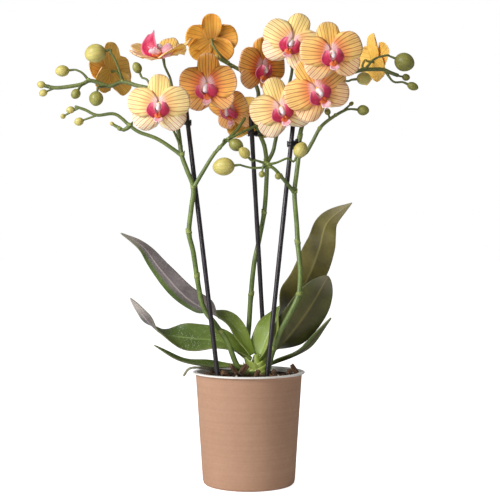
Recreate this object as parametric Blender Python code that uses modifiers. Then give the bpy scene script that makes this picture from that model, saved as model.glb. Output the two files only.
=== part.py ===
# Moth orchid with three flower spikes in a tapered cover pot, as one assembly of plain solids.
# Frame: metres, +Z up, origin at the centre of the pot's base, -Y towards the front.

import math

import bmesh
import bpy
from mathutils import Matrix, Vector

# Cover pot
POT_HEIGHT = 0.106
POT_TOP_RADIUS = 0.0505
POT_BASE_RADIUS = 0.0435
POT_WALL = 0.0028
POT_FLOOR = 0.0045
POT_BASE_CORNER = 0.003
LIP_OVERHANG = 0.0026
LIP_THICKNESS = 0.0016

# Grow pot inside it, and the bark
GROW_POT_WALL = 0.001
GROW_POT_PLAY = 0.001
GROW_POT_DROP = 0.004
GROW_POT_FOOT_HOLE = 0.006
BARK_EDGE_DROP = 0.006
BARK_HEAP = 0.004
BARK_SHOULDER = 0.55

# Plant
PLANT_HEIGHT = 0.335
CROWN_RADIUS = 0.006
CROWN_RISE = 0.016
CROWN_DEPTH = 0.018
LEAF_THICKNESS = 0.0014
LEAF_BASE_WIDTH = 0.4
LEAF_WIDEST = 0.6
LEAF_TIP_WIDTH = 0.25
LEAF_BASE_FOLD = 0.45
LEAF_TIP_FOLD = 0.15
LEAF_TWIST_LENGTH = 0.4
ROOT_RADIUS = 0.002
STEM_RADIUS = 0.0022
STEM_TIP_RADIUS = 0.0016
BRANCH_RADIUS = 0.0016
PEDICEL_RADIUS = 0.0012
PEDICEL_NECK = 0.006
BLOSSOM_RADIUS = 0.030
TEPAL_THICKNESS = 0.0009
BLOSSOM_CORE_RADIUS = 0.005
BLOSSOM_CORE_DEPTH = 0.0035
SEPAL_HALF_WIDTH = 0.0108
PETAL_HALF_WIDTH = 0.0165
TEPAL_BASE = 0.0015
TEPAL_REFLEX = 0.08

# Support sticks and their clips
STICK_RADIUS = 0.0022
STICK_DEPTH = 0.055
CLIP_WALL = 0.0014
CLIP_HEIGHT = 0.005

# Clearance between pieces that touch
GAP = 0.0003

# How finely shapes are divided
TURN_STEPS = 36
CROWN_STEPS = 14
STEM_RESOLUTION = 1
TWIG_RESOLUTION = 0
STEM_STEP = 0.011
BRANCH_STEP = 0.010
PEDICEL_STEP = 0.009
LEAF_STEP = 0.014
MERGE = 0.00001

# One plant unit is a millimetre at the plant's own height. Places on the plant are
# (x, y, height over the pot's rim) in these units.
UNIT = PLANT_HEIGHT / 335

CROWN_PLACE = (7, 0)

# Routes of the three spikes: the angle and height where each leaves the crown, the main stem
# from there on, then its branches, each from the stem outwards.
SPIKES = {
    "left": {
        "base": (-90, -3),
        "stem": [(-4, -14, 0), (-12, -15, 9), (-20, -15, 29), (-31, -14, 45),
                 (-42, -13.5, 60), (-47, -14, 80), (-52, -15, 113), (-56, -15, 131),
                 (-54, -14.5, 153), (-52, -14, 173), (-58, -13, 190), (-63, -11, 204),
                 (-66, -8, 224), (-69, -5, 241), (-76, -5, 259), (-91, -3, 267), (-106, 0, 271),
                 (-120, 2, 275), (-133, 2, 271), (-150, 1, 276), (-160, 0, 272),
                 (-182, 0, 269), (-194, 0, 271)],
        "branches": [
            [(-63, -11, 204), (-85, -9, 219), (-103, -8, 226), (-112, -8, 232), (-126, -8, 243),
             (-143, -8, 242), (-154, -8, 247), (-163, -8, 250)],
            [(-112, -8, 232), (-118, -8, 228), (-124, -8, 231), (-129, -8, 234)],
            [(-52, -14, 173), (-43, -16, 188), (-32, -19, 205), (-20, -17, 218),
             (-11, -12, 228), (-4, -8, 239)],
        ],
    },
    "middle": {
        "base": (120, -1),
        "stem": [(-2, 14, 16), (0, 20, 41), (2, 23, 71),
                 (5, 24, 101), (10, 24, 125), (15, 19, 153), (17, 13, 183), (17, 9, 198),
                 (15, 8, 214), (9, 6, 230), (7, 6, 247), (9, 9, 266), (1, 14, 282),
                 (-15, 16, 292), (-27, 12, 298)],
        "branches": [
            [(17, 9, 198), (23, 10, 209), (26, 11, 222), (31, 12, 242), (36, 11, 264),
             (41, 8, 284), (41, 1, 298)],
        ],
    },
    "right": {
        "base": (-30, -3),
        "stem": [(19, -10, 7), (23, -14, 22), (29, -17, 38), (38, -20, 55),
                 (44, -21, 67), (47, -20, 76), (48, -17, 96), (46, -12, 121), (45, -10, 140),
                 (43, -9, 168), (45, -8, 187), (47, -6, 204), (48, -5, 221), (50, -5, 231),
                 (54, -7, 246), (60, -8, 261), (69, -7, 271), (79, -6, 277), (92, -5, 281),
                 (108, 0, 286), (120, 3, 287), (128, 4, 287), (136, 6, 284), (142, 7, 282)],
        "branches": [
            [(43, -9, 169), (34, -18, 179), (24, -24, 190), (14, -27, 196)],
            [(47, -6, 203), (54, -8, 207), (60, -10, 217), (68, -12, 231), (81, -14, 241),
             (92, -14, 247)],
        ],
    },
}

# Blossoms: centre of the column, the way the face looks, roll about it in degrees (clockwise
# from the front), size against the full one, the spike, and the pedicel's route on the way.
UP = (0, 0, 1)
BLOSSOMS = {
    "blossom_left_back": ((-136, 36, 290), (-0.78, 0.62, 0), UP, 0, 0.97, "left",
                          [(-120, 2, 275), (-123, 14, 281), (-128, 25, 288)]),
    "blossom_left_up": ((-78, -45, 291), (0, -0.15, 1), (0, 1, 0), 0, 1.0, "left",
                        [(-69, -5, 245), (-71, -8, 261), (-73, -18, 274), (-76, -33, 281)]),
    "blossom_left_top": ((-36, 16, 317), (-0.1, 1, 0.1), UP, 0, 0.86, "middle",
                         [(-20, 14, 295), (-29, 6, 303), (-35, 6, 312)]),
    "blossom_left_front": ((-82, -44, 247), (0, -1, 0), UP, 0, 0.97, "left",
                           [(-64, -9, 212), (-71, -19, 228), (-79, -31, 243)]),
    "blossom_centre_left": ((-38, -22, 268), (-0.35, -0.9, -0.2), UP, 0, 1.0, "middle",
                            [(-15, 16, 292), (-24, 8, 288), (-33, -6, 275)]),
    "blossom_centre_low": ((-18, 18, 252), (-0.64, -0.64, -0.43), UP, 0, 0.9, "middle",
                           [(15, 8, 214), (12, 20, 224), (3, 32, 240), (-8, 29, 253)]),
    "blossom_centre_back": ((12, -4, 288), (0.62, -0.78, -0.1), UP, 0, 0.95, "middle",
                            [(7, 11, 274), (0, 13, 284), (3, 7, 289)]),
    "blossom_top": ((40, -25, 308), (0, -1, 0), UP, 20, 0.97, "middle",
                    [(41, 6, 290), (41, -2, 303), (40, -12, 308)]),
    "blossom_right_front": ((75, -47, 294), (0.1, -1, 0), UP, -8, 1.0, "right",
                            [(92, -5, 281), (88, -13, 290), (78, -32, 295)]),
    "blossom_right_low": ((63, -34, 262), (0.1, -1, -0.1), UP, -30, 1.05, "right",
                          [(69, -7, 271), (69, -15, 271), (64, -25, 264)]),
    "blossom_low_front": ((30, -20, 247), (0, -1, -0.1), UP, -20, 1.0, "left",
                          [(-20, -17, 218), (-5, -14, 226), (10, -5, 234), (26, -3, 245)]),
    "blossom_low_back": ((0, 46, 244), (-0.1, 0.9, -0.35), UP, 0, 0.9, "middle",
                         [(9, 6, 230), (7, 19, 238), (3, 32, 243)]),
    "blossom_right_back": ((125, 44, 301), (0.92, 0.38, 0), UP, 0, 0.95, "right",
                           [(108, 0, 286), (110, 18, 294), (114, 34, 301)]),
}

# Buds with a node of their own: centre, direction from the pedicel outwards, length, width,
# spike and route.
BUDS = {
    "bud_left_large": ((-145, -4, 301), (-1, 0, -0.25), 20, 18, "left",
                       [(-120, 2, 275), (-122, -2, 283), (-127, -4, 296), (-131, -4, 302)]),
    "bud_left_upper": ((-177, 0, 285), (-1, 0, -0.1), 13, 11, "left",
                       [(-152, 1, 276), (-158, 0, 283), (-164, 0, 286)]),
    "bud_left_inner": ((-163, -9, 262), (-0.4, -0.4, -0.8), 10, 9, "left",
                       [(-158, 0, 273), (-159, -4, 270)]),
    "bud_left_hanging": ((-143, -14, 257), (-0.1, -0.3, -1), 14, 13, "left",
                         [(-136, 2, 271), (-140, -6, 269)]),
    "bud_left_near": ((-106, 0, 288), (-0.5, 0, 1), 11, 9, "left",
                      [(-91, -3, 267), (-97, -1, 277)]),
    "bud_centre_yellow": ((-23, -30, 192), (-1, 0, -0.1), 20, 17, "right",
                          [(20, -25, 192), (4, -26, 191), (-6, -28, 193)]),
    "bud_centre_small": ((-4, -36, 204), (-0.5, -0.3, 0.5), 12, 10, "right",
                         [(16, -26, 195), (5, -31, 198)]),
    "bud_centre_olive": ((-12, -20, 213), (1, -0.2, -0.5), 14, 12, "left",
                         [(-32, -19, 205), (-25, -21, 212)]),
    "bud_centre_right": ((48, -22, 208), (0.6, 0, 1), 15, 13, "right",
                         [(17, -26, 194), (26, -26, 196), (36, -25, 200)]),
    "bud_right_large": ((148, 3, 294), (1, 0, -0.4), 19, 18, "right",
                        [(110, 1, 286), (119, -1, 296), (131, 1, 300)]),
    "bud_right_tip": ((157, 10, 272), (1, 0, -0.4), 11, 8, "right",
                      [(130, 5, 286), (138, 7, 276)]),
    "bud_right_inner": ((107, -19, 275), (1, -0.1, 0.1), 13, 12, "right",
                        [(82, -6, 278), (92, -15, 273)]),
    "bud_right_lower": ((107, -14, 246), (1, 0, -0.1), 11, 10, "right",
                        [(81, -14, 241), (90, -14, 246), (95, -14, 247)]),
}

# Small buds that end a twig and stay part of their spike: centre, length, width, twig start.
SMALL_BUDS = {
    "left": [((-197, 0, 272), 8, 7, (-190, 0, 271)), ((-195, -1, 264), 8, 7, (-184, 0, 269)),
             ((-168, -8, 247), 8, 7, (-160, -8, 249)), ((-175, -8, 241), 5, 5, (-160, -8, 249)),
             ((-160, -8, 236), 9, 8, (-143, -8, 242)), ((-129, -8, 234), 4, 4, (-124, -8, 231))],
    "middle": [((-31, 11, 300), 5, 5, (-24, 13, 297))],
    "right": [((151, 13, 281), 8, 7, (140, 7, 282)), ((74, -11, 245), 7, 6, (76, -13, 238)),
              ((27, -30, 183), 7, 6, (25, -23, 189)), ((12, -29, 185), 6, 6, (14, -27, 196)),
              ((96, -14, 252), 5, 4, (88, -14, 245))],
}

# Leaves: route of the midrib from the crown, half width, roll of the blade in degrees.
LEAVES = {
    "leaf_upper_left": ([(-16, 3, 44), (-34, 6, 56), (-60, 0, 72), (-92, -14, 102),
                         (-121, -28, 130)], 172, 14, 20, -48),
    "leaf_middle_left": ([(-25, 1, 27), (-55, 0, 31), (-85, -4, 38), (-112, -9, 70)],
                         180, 8.5, 17, 58),
    "leaf_lower_left": ([(-20, -2, 4.5), (-38, -8, 7), (-62, -24, 13), (-87, -38, 28)],
                        188, 3.5, 7, 25),
    "leaf_upper_right": ([(18, 8, 34), (27, 12, 60), (45, 12, 90), (72, 5, 126), (98, -6, 160)],
                         42, 14, 17, 70),
    "leaf_middle_right": ([(35, 0, 30), (56, -4, 58), (75, -8, 91)], 0, 9, 20, 74),
    "leaf_lower_right": ([(25, 6, 7), (52, 2, 20), (78, -4, 51)], 18, 3.5, 7, 20),
}

# Sticks: where the axis crosses the rim's height, and the top.
STICKS = {
    "left": ((-29, -26, 0), (-61, 2, 260)),
    "middle": ((16, 28, 0), (2, 3, 241)),
    "right": ((17, -26, 0), (44, -3, 254)),
}

# Heights of the clips over the pot's rim, in plant units.
CLIP_LEVELS = {"left": 236, "middle": 226, "right": 215}


def place(point):
    """World place of a point on the plant."""
    x, y, z = point
    return Vector((x * UNIT, y * UNIT, POT_HEIGHT + z * UNIT))


def material(name, colour, roughness, metallic=0.0):
    made = bpy.data.materials.new(name)
    made.use_nodes = True
    shader = made.node_tree.nodes["Principled BSDF"]
    shader.inputs["Base Color"].default_value = (*colour, 1)
    shader.inputs["Roughness"].default_value = roughness
    shader.inputs["Metallic"].default_value = metallic
    made.diffuse_color = (*colour, 1)
    return made


def collection(name):
    made = bpy.data.collections.new(name)
    bpy.context.scene.collection.children.link(made)
    return made


def add_object(name, mesh, group, finish=None):
    made = bpy.data.objects.new(name, mesh)
    group.objects.link(made)
    if finish:
        mesh.materials.clear()
        mesh.materials.append(finish)
    return made


def smooth_route(points, step):
    """Points a step apart along a Catmull-Rom curve through the given ones."""
    ends = [2 * points[0] - points[1], *points, 2 * points[-1] - points[-2]]
    route = []
    for before, start, end, after in zip(ends, ends[1:], ends[2:], ends[3:]):
        pieces = max(1, round((end - start).length / step))
        for piece in range(pieces):
            t = piece / pieces
            route.append(0.5 * (2 * start + (end - before) * t
                                + (2 * before - 5 * start + 4 * end - after) * t ** 2
                                + (3 * start - before - 3 * end + after) * t ** 3))
    return [*route, points[-1]]


def tube(name, points, start_radius, end_radius, resolution, group, finish):
    """A closed round tube, made a mesh so that it can be joined or cut with."""
    curve = bpy.data.curves.new(name, "CURVE")
    curve.dimensions = "3D"
    curve.bevel_depth = 1
    curve.bevel_resolution = resolution
    curve.use_fill_caps = True
    spline = curve.splines.new("POLY")
    spline.points.add(len(points) - 1)
    for index, (point, spot) in enumerate(zip(spline.points, points)):
        share = index / (len(points) - 1)
        point.co = (*spot, 1)
        point.radius = start_radius + (end_radius - start_radius) * share
    source = add_object(name, curve, group)
    bpy.context.view_layer.update()
    evaluated = source.evaluated_get(bpy.context.evaluated_depsgraph_get())
    mesh = bpy.data.meshes.new_from_object(evaluated)
    bpy.data.objects.remove(source)
    bpy.data.curves.remove(curve)
    bm = bmesh.new()
    bm.from_mesh(mesh)
    bmesh.ops.remove_doubles(bm, verts=bm.verts, dist=MERGE)
    bm.to_mesh(mesh)
    bm.free()
    mesh.shade_smooth()
    return add_object(name, mesh, group, finish)


def turned(name, profile, steps, group, finish):
    """A profile of (radius, height) turned about +Z, down its outer side."""
    mesh = bpy.data.meshes.new(name)
    bm = bmesh.new()
    verts = [bm.verts.new((radius, 0, height)) for radius, height in profile]
    for start, end in zip(verts, verts[1:]):
        bm.edges.new((start, end))
    bm.to_mesh(mesh)
    bm.free()
    made = add_object(name, mesh, group, finish)
    screw = made.modifiers.new("turn", "SCREW")
    screw.steps = screw.render_steps = steps
    screw.use_merge_vertices = True
    screw.merge_threshold = MERGE
    screw.use_smooth_shade = False
    return made


def arc(centre, radius, start, end, steps):
    """Points of a quarter round in a profile, angles in degrees."""
    points = []
    for step in range(steps + 1):
        angle = math.radians(start + (end - start) * step / steps)
        points.append((centre[0] + radius * math.cos(angle),
                       centre[1] + radius * math.sin(angle)))
    return points


def boolean(target, other, operation):
    change = target.modifiers.new(operation.lower(), "BOOLEAN")
    change.operation = operation
    change.solver = "EXACT"
    if isinstance(other, bpy.types.Collection):
        change.operand_type = "COLLECTION"
        change.collection = other
    else:
        change.object = other


def hide_guides(group):
    for guide in group.objects:
        guide.hide_render = True
        guide.display_type = "WIRE"


def ellipsoid_mesh(name, size, segments, rings):
    """A ball stretched to three half sizes."""
    mesh = bpy.data.meshes.new(name)
    bm = bmesh.new()
    bmesh.ops.create_uvsphere(bm, u_segments=segments, v_segments=rings, radius=1)
    bmesh.ops.scale(bm, vec=size, verts=bm.verts)
    bm.to_mesh(mesh)
    bm.free()
    mesh.shade_smooth()
    return mesh


def facing_frame(facing, up, roll):
    """Rotation that turns local +Z to the facing way and local +Y to the upper side."""
    out = Vector(facing).normalized()
    across = Vector(up).cross(out).normalized()
    upper = out.cross(across)
    turn = Matrix((across, upper, out)).transposed().to_4x4()
    return turn @ Matrix.Rotation(math.radians(-roll), 4, "Z")


def pot_radius(height):
    """Outer radius of the tapered cover pot at a height."""
    share = height / POT_HEIGHT
    return POT_BASE_RADIUS + (POT_TOP_RADIUS - POT_BASE_RADIUS) * share


def make_cover_pot(group):
    clay = material("cover_pot_clay", (0.42, 0.27, 0.18), 0.75)
    lip_radius = POT_TOP_RADIUS + LIP_OVERHANG
    lip_base = POT_HEIGHT - LIP_THICKNESS
    corner = arc((POT_BASE_RADIUS - POT_BASE_CORNER, POT_BASE_CORNER), POT_BASE_CORNER, 0, -90, 3)
    profile = [
        (0, POT_FLOOR),
        (pot_radius(POT_FLOOR) - POT_WALL, POT_FLOOR),
        (POT_TOP_RADIUS - POT_WALL, POT_HEIGHT),
        (lip_radius, POT_HEIGHT),
        (lip_radius, lip_base),
        (pot_radius(lip_base), lip_base - LIP_OVERHANG / 2),
        *corner,
        (0, 0),
    ]
    return turned("cover_pot", profile, TURN_STEPS, group, clay)


def grow_pot_radius(height):
    """Outer radius of the grow pot at a height, a play inside the cover pot's wall."""
    return pot_radius(height) - POT_WALL - GROW_POT_PLAY


def make_grow_pot(group):
    plastic = material("grow_pot_plastic", (0.10, 0.10, 0.09), 0.4)
    foot = POT_FLOOR + GAP
    top = POT_HEIGHT - GROW_POT_DROP
    floor = foot + GROW_POT_WALL
    profile = [
        (GROW_POT_FOOT_HOLE, floor),
        (grow_pot_radius(foot) - GROW_POT_WALL, floor),
        (grow_pot_radius(top) - GROW_POT_WALL, top),
        (grow_pot_radius(top), top),
        (grow_pot_radius(foot), foot),
        (GROW_POT_FOOT_HOLE, foot),
        (GROW_POT_FOOT_HOLE, floor),
    ]
    return turned("grow_pot", profile, TURN_STEPS, group, plastic)


def make_bark(group, cutters):
    bark = material("bark_mix", (0.10, 0.06, 0.04), 0.9)
    bottom = POT_FLOOR + GROW_POT_WALL + 2 * GAP
    edge = POT_HEIGHT - BARK_EDGE_DROP
    inset = GROW_POT_WALL + GAP
    profile = [
        (0, edge + BARK_HEAP),
        (BARK_SHOULDER * grow_pot_radius(edge), edge + 0.8 * BARK_HEAP),
        (grow_pot_radius(edge) - inset, edge),
        (grow_pot_radius(bottom) - inset, bottom),
        (0, bottom),
    ]
    made = turned("bark_mix", profile, TURN_STEPS, group, bark)
    boolean(made, cutters, "DIFFERENCE")
    return made


def crown_profile(grow):
    radius = CROWN_RADIUS + grow
    top = CROWN_RISE + grow
    foot = -CROWN_DEPTH - grow
    round_top = arc((radius / 2, top - radius / 2), radius / 2, 90, 0, 2)
    return [(0, top), *round_top, (radius, foot + radius / 2), (radius / 2, foot), (0, foot)]


def make_crown(name, grow, group, finish):
    made = turned(name, crown_profile(grow), CROWN_STEPS, group, finish)
    made.location = place((*CROWN_PLACE, 0))
    return made


def root_route():
    """From the crown along the bark, over the pot's lip and down outside it."""
    x, y = CROWN_PLACE
    clear = ROOT_RADIUS + 2 * GAP
    lip = POT_TOP_RADIUS + LIP_OVERHANG
    side = CROWN_RADIUS + GAP
    start = place((x, y, -3)) + Vector((-side - GAP, 0.0005, 0))
    return [start, place((-14, 0, -0.5)), place((-30, -1, 1)),
            Vector((-lip + 0.008, -0.005, POT_HEIGHT + clear + 0.0012)),
            Vector((-lip - 0.003, -0.008, POT_HEIGHT + clear + 0.0006)),
            Vector((-lip - 0.008, -0.009, POT_HEIGHT - 0.003))]


def make_root(name, grow, group, finish):
    route = smooth_route(root_route(), PEDICEL_STEP)
    return tube(name, route, ROOT_RADIUS + grow, 0.7 * ROOT_RADIUS + grow, STEM_RESOLUTION,
                group, finish)


def stick_ends(side):
    """Lower and upper end of a stick that leans through its place at the rim."""
    rim, top = (place(point) for point in STICKS[side])
    down = (rim - top) / (top.z - rim.z)
    return rim + down * STICK_DEPTH, top


def make_stick(name, side, grow, group, finish):
    low, high = stick_ends(side)
    down = (low - high).normalized() * grow
    return tube(name, [low + down, high - down], STICK_RADIUS + grow, STICK_RADIUS + grow,
                STEM_RESOLUTION, group, finish)


def stem_route(side):
    """Straight out of the crown for a short way, then through the spike's own points."""
    angle, height = SPIKES[side]["base"]
    out = Vector((math.cos(math.radians(angle)), math.sin(math.radians(angle)), 0))
    start = place((*CROWN_PLACE, height)) + out * (CROWN_RADIUS + STEM_RADIUS * 0.25 + GAP)
    points = [start, start + out * 0.005 + Vector(UP) * 0.001]
    points += [place(point) for point in SPIKES[side]["stem"]]
    return smooth_route(points, STEM_STEP)


def make_stem(name, side, grow, group, finish):
    route = stem_route(side)
    route[0] += (route[0] - route[1]).normalized() * grow
    return tube(name, route, STEM_RADIUS + grow, STEM_TIP_RADIUS + grow,
                STEM_RESOLUTION, group, finish)


def pedicel_route(route, seat, out):
    """A route from a stem that comes up to its seat along the way out."""
    points = [place(point) for point in route]
    return smooth_route([*points, seat - out * PEDICEL_NECK, seat], PEDICEL_STEP)


def make_twig(name, centre, length, width, start, group, finish):
    """A short twig and the small bud that ends it."""
    middle = place(centre)
    base = place(start)
    tube(name + "_twig", [base, middle], PEDICEL_RADIUS, 0.7 * PEDICEL_RADIUS, TWIG_RESOLUTION,
         group, finish)
    mesh = ellipsoid_mesh(name, (width / 2 * UNIT, width / 2 * UNIT, length / 2 * UNIT), 6, 4)
    bud = add_object(name, mesh, group, finish)
    way = (middle - base).normalized()
    bud.matrix_world = Matrix.Translation(middle) @ way.to_track_quat("Z", "Y").to_matrix().to_4x4()


def bud_seat(centre, way, length):
    """Place where a pedicel stops, a gap short of its bud."""
    out = Vector(way).normalized()
    return place(centre) - out * (length / 2 * UNIT + GAP), out


def blossom_seat(centre, facing, size):
    out = Vector(facing).normalized()
    return place(centre) - out * (BLOSSOM_CORE_DEPTH * size + GAP), out


def make_spike(side, group, finish):
    """A stem with its branches, pedicels and smallest buds, joined into one body."""
    twigs = collection("spike_" + side + "_branches")
    for index, branch in enumerate(SPIKES[side]["branches"]):
        route = smooth_route([place(point) for point in branch], BRANCH_STEP)
        tube(f"{side}_branch_{index}", route, BRANCH_RADIUS, PEDICEL_RADIUS, STEM_RESOLUTION,
             twigs, finish)
    for name, (centre, facing, _, _, size, owner, route) in BLOSSOMS.items():
        if owner == side:
            seat, out = blossom_seat(centre, facing, size)
            points = pedicel_route(route, seat, out)
            tube(name + "_pedicel", points, PEDICEL_RADIUS, PEDICEL_RADIUS, TWIG_RESOLUTION,
                 twigs, finish)
    for name, (centre, way, length, _, owner, route) in BUDS.items():
        if owner == side:
            seat, out = bud_seat(centre, way, length)
            points = pedicel_route(route, seat, out)
            tube(name + "_pedicel", points, PEDICEL_RADIUS, 0.8 * PEDICEL_RADIUS,
                 TWIG_RESOLUTION, twigs, finish)
    for index, (centre, length, width, start) in enumerate(SMALL_BUDS[side]):
        make_twig(f"{side}_small_bud_{index}", centre, length, width, start, twigs, finish)
    hide_guides(twigs)
    spike = make_stem("spike_" + side, side, 0, group, finish)
    boolean(spike, twigs, "UNION")
    return spike


def leaf_width(along):
    """Share of the full width: swelling from the base, then a rounded end."""
    if along < LEAF_WIDEST:
        swell = math.sin(math.pi / 2 * along / LEAF_WIDEST)
        return LEAF_BASE_WIDTH + (1 - LEAF_BASE_WIDTH) * swell
    past = (along - LEAF_WIDEST) / (1 - LEAF_WIDEST)
    return math.sqrt(max(LEAF_TIP_WIDTH ** 2, 1 - past ** 2))


def leaf_mesh(name, route, base_angle, base_height, half_width, roll):
    """A strap leaf: a grid bent along its midrib, folded to a V at the crown."""
    angle = math.radians(base_angle)
    crown = place((*CROWN_PLACE, base_height))
    steepness = (place(route[0]) - crown).normalized().z
    seat = CROWN_RADIUS + 2 * GAP + LEAF_THICKNESS / 2 * steepness
    start = crown + Vector((math.cos(angle), math.sin(angle), 0)) * seat
    midrib = smooth_route([start, *(place(point) for point in route)], LEAF_STEP)
    mesh = bpy.data.meshes.new(name)
    bm = bmesh.new()
    rows = len(midrib) - 1
    bmesh.ops.create_grid(bm, x_segments=rows, y_segments=4, size=0.5)
    for vert in bm.verts:
        along = min(max(vert.co.x + 0.5, 0), 1)
        across = vert.co.y * 2
        index = round(along * rows)
        heading = (midrib[min(index + 1, rows)] - midrib[max(index - 1, 0)]).normalized()
        flat = heading.cross(Vector(UP)).normalized()
        upper = flat.cross(heading)
        turn = math.radians(roll) * min(1, along / LEAF_TWIST_LENGTH)
        side = flat * math.cos(turn) + upper * math.sin(turn)
        normal = upper * math.cos(turn) - flat * math.sin(turn)
        width = half_width * UNIT * leaf_width(along)
        fold = width * (LEAF_BASE_FOLD + (LEAF_TIP_FOLD - LEAF_BASE_FOLD) * along) * abs(across)
        vert.co = midrib[index] + side * across * width + normal * fold
    bmesh.ops.recalc_face_normals(bm, faces=bm.faces)
    bm.to_mesh(mesh)
    bm.free()
    mesh.shade_smooth()
    return mesh


def make_leaf(name, group, finish):
    route, base_angle, base_height, half_width, roll = LEAVES[name]
    mesh = leaf_mesh(name, route, base_angle, base_height, half_width, roll)
    leaf = add_object(name, mesh, group, finish)
    skin = leaf.modifiers.new("thickness", "SOLIDIFY")
    skin.thickness = LEAF_THICKNESS
    skin.offset = 0
    return leaf


def tepal(name, angle, half_width, lift, group, finish):
    """One sepal or petal in the blossom's own frame: a rounded blade from the core outwards."""
    turn = math.radians(angle)
    along_way = Vector((math.cos(turn), math.sin(turn), 0))
    across_way = Vector((-math.sin(turn), math.cos(turn), 0))
    mesh = bpy.data.meshes.new(name)
    bm = bmesh.new()
    bmesh.ops.create_grid(bm, x_segments=3, y_segments=2, size=0.5)
    for vert in bm.verts:
        along = min(max(vert.co.x + 0.5, 0), 1)
        width = half_width * math.sin(math.pi * (0.08 + 0.84 * along ** 0.85)) ** 0.7
        spot = along_way * (TEPAL_BASE + (BLOSSOM_RADIUS - TEPAL_BASE) * along)
        spot += across_way * vert.co.y * 2 * width
        spot.z = lift - TEPAL_REFLEX * BLOSSOM_RADIUS * along ** 2
        vert.co = spot
    bmesh.ops.recalc_face_normals(bm, faces=bm.faces)
    bm.to_mesh(mesh)
    bm.free()
    blade = add_object(name, mesh, group, finish)
    skin = blade.modifiers.new("thickness", "SOLIDIFY")
    skin.thickness = TEPAL_THICKNESS
    skin.offset = 0


def blossom_source(guides, finish):
    """Three sepals, two petals in front of them, the lip and the column, joined to one body."""
    parts = collection("blossom_parts")
    step = TEPAL_THICKNESS + GAP
    for angle in (90, 212, 328):
        tepal(f"sepal_{angle}", angle, SEPAL_HALF_WIDTH, -step / 2, parts, finish)
    for angle in (8, 172):
        tepal(f"petal_{angle}", angle, PETAL_HALF_WIDTH, step / 2, parts, finish)
    lip_size = Vector((0.22, 0.2, 0.2)) * BLOSSOM_RADIUS
    lip = add_object("lip", ellipsoid_mesh("lip", lip_size, 8, 5), parts, finish)
    lip.location = Vector((0, -0.16, 0.18)) * BLOSSOM_RADIUS
    hide_guides(parts)
    core_size = (BLOSSOM_CORE_RADIUS, BLOSSOM_CORE_RADIUS, BLOSSOM_CORE_DEPTH)
    core = add_object("blossom_core", ellipsoid_mesh("core", core_size, 8, 6), guides, finish)
    boolean(core, parts, "UNION")
    bpy.context.view_layer.update()
    evaluated = core.evaluated_get(bpy.context.evaluated_depsgraph_get())
    return bpy.data.meshes.new_from_object(evaluated)


def make_blossoms(group, guides):
    finish = material("blossom_yellow", (0.90, 0.72, 0.38), 0.5)
    mesh = blossom_source(guides, finish)
    for name, (centre, facing, up, roll, size, _, _) in BLOSSOMS.items():
        blossom = add_object(name, mesh, group, finish)
        turn = facing_frame(facing, up, roll)
        blossom.matrix_world = Matrix.Translation(place(centre)) @ turn @ Matrix.Scale(size, 4)


def make_buds(group):
    finish = material("bud_green", (0.62, 0.60, 0.25), 0.45)
    for name, (centre, way, length, width, _, _) in BUDS.items():
        half = (width / 2 * UNIT, width / 2 * UNIT, length / 2 * UNIT)
        bud = add_object(name, ellipsoid_mesh(name, half, 8, 6), group, finish)
        turn = Vector(way).to_track_quat("Z", "Y").to_matrix().to_4x4()
        bud.matrix_world = Matrix.Translation(place(centre)) @ turn


def point_at_height(route, height):
    """Where a route first passes a height over the rim."""
    level = POT_HEIGHT + height * UNIT
    for low, high in zip(route, route[1:]):
        if low.z <= level <= high.z:
            return low.lerp(high, (level - low.z) / (high.z - low.z))
    return route[-1]


def make_clip(side, group, finish):
    """A block round the stick, open in front where it holds the stem."""
    height = CLIP_LEVELS[side]
    stick = point_at_height(stick_ends(side), height)
    stem = point_at_height(stem_route(side), height)
    reach = stem - stick
    depth = 2 * (STICK_RADIUS + GAP + CLIP_WALL)
    start = -(STICK_RADIUS + GAP + CLIP_WALL)
    end = reach.length + STEM_RADIUS + GAP + CLIP_WALL
    mesh = bpy.data.meshes.new("clip_" + side)
    bm = bmesh.new()
    bmesh.ops.create_cube(bm, size=1)
    bmesh.ops.scale(bm, vec=(end - start, depth, CLIP_HEIGHT), verts=bm.verts)
    bmesh.ops.translate(bm, vec=((start + end) / 2, 0, 0), verts=bm.verts)
    bm.to_mesh(mesh)
    bm.free()
    clip = add_object("clip_" + side, mesh, group, finish)
    clip.matrix_world = (Matrix.Translation(stick)
                         @ Matrix.Rotation(math.atan2(reach.y, reach.x), 4, "Z"))
    holes = collection("clip_" + side + "_holes")
    make_stick("clip_hole_stick_" + side, side, GAP, holes, None)
    make_stem("clip_hole_stem_" + side, side, GAP, holes, None)
    hide_guides(holes)
    boolean(clip, holes, "DIFFERENCE")


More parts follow.
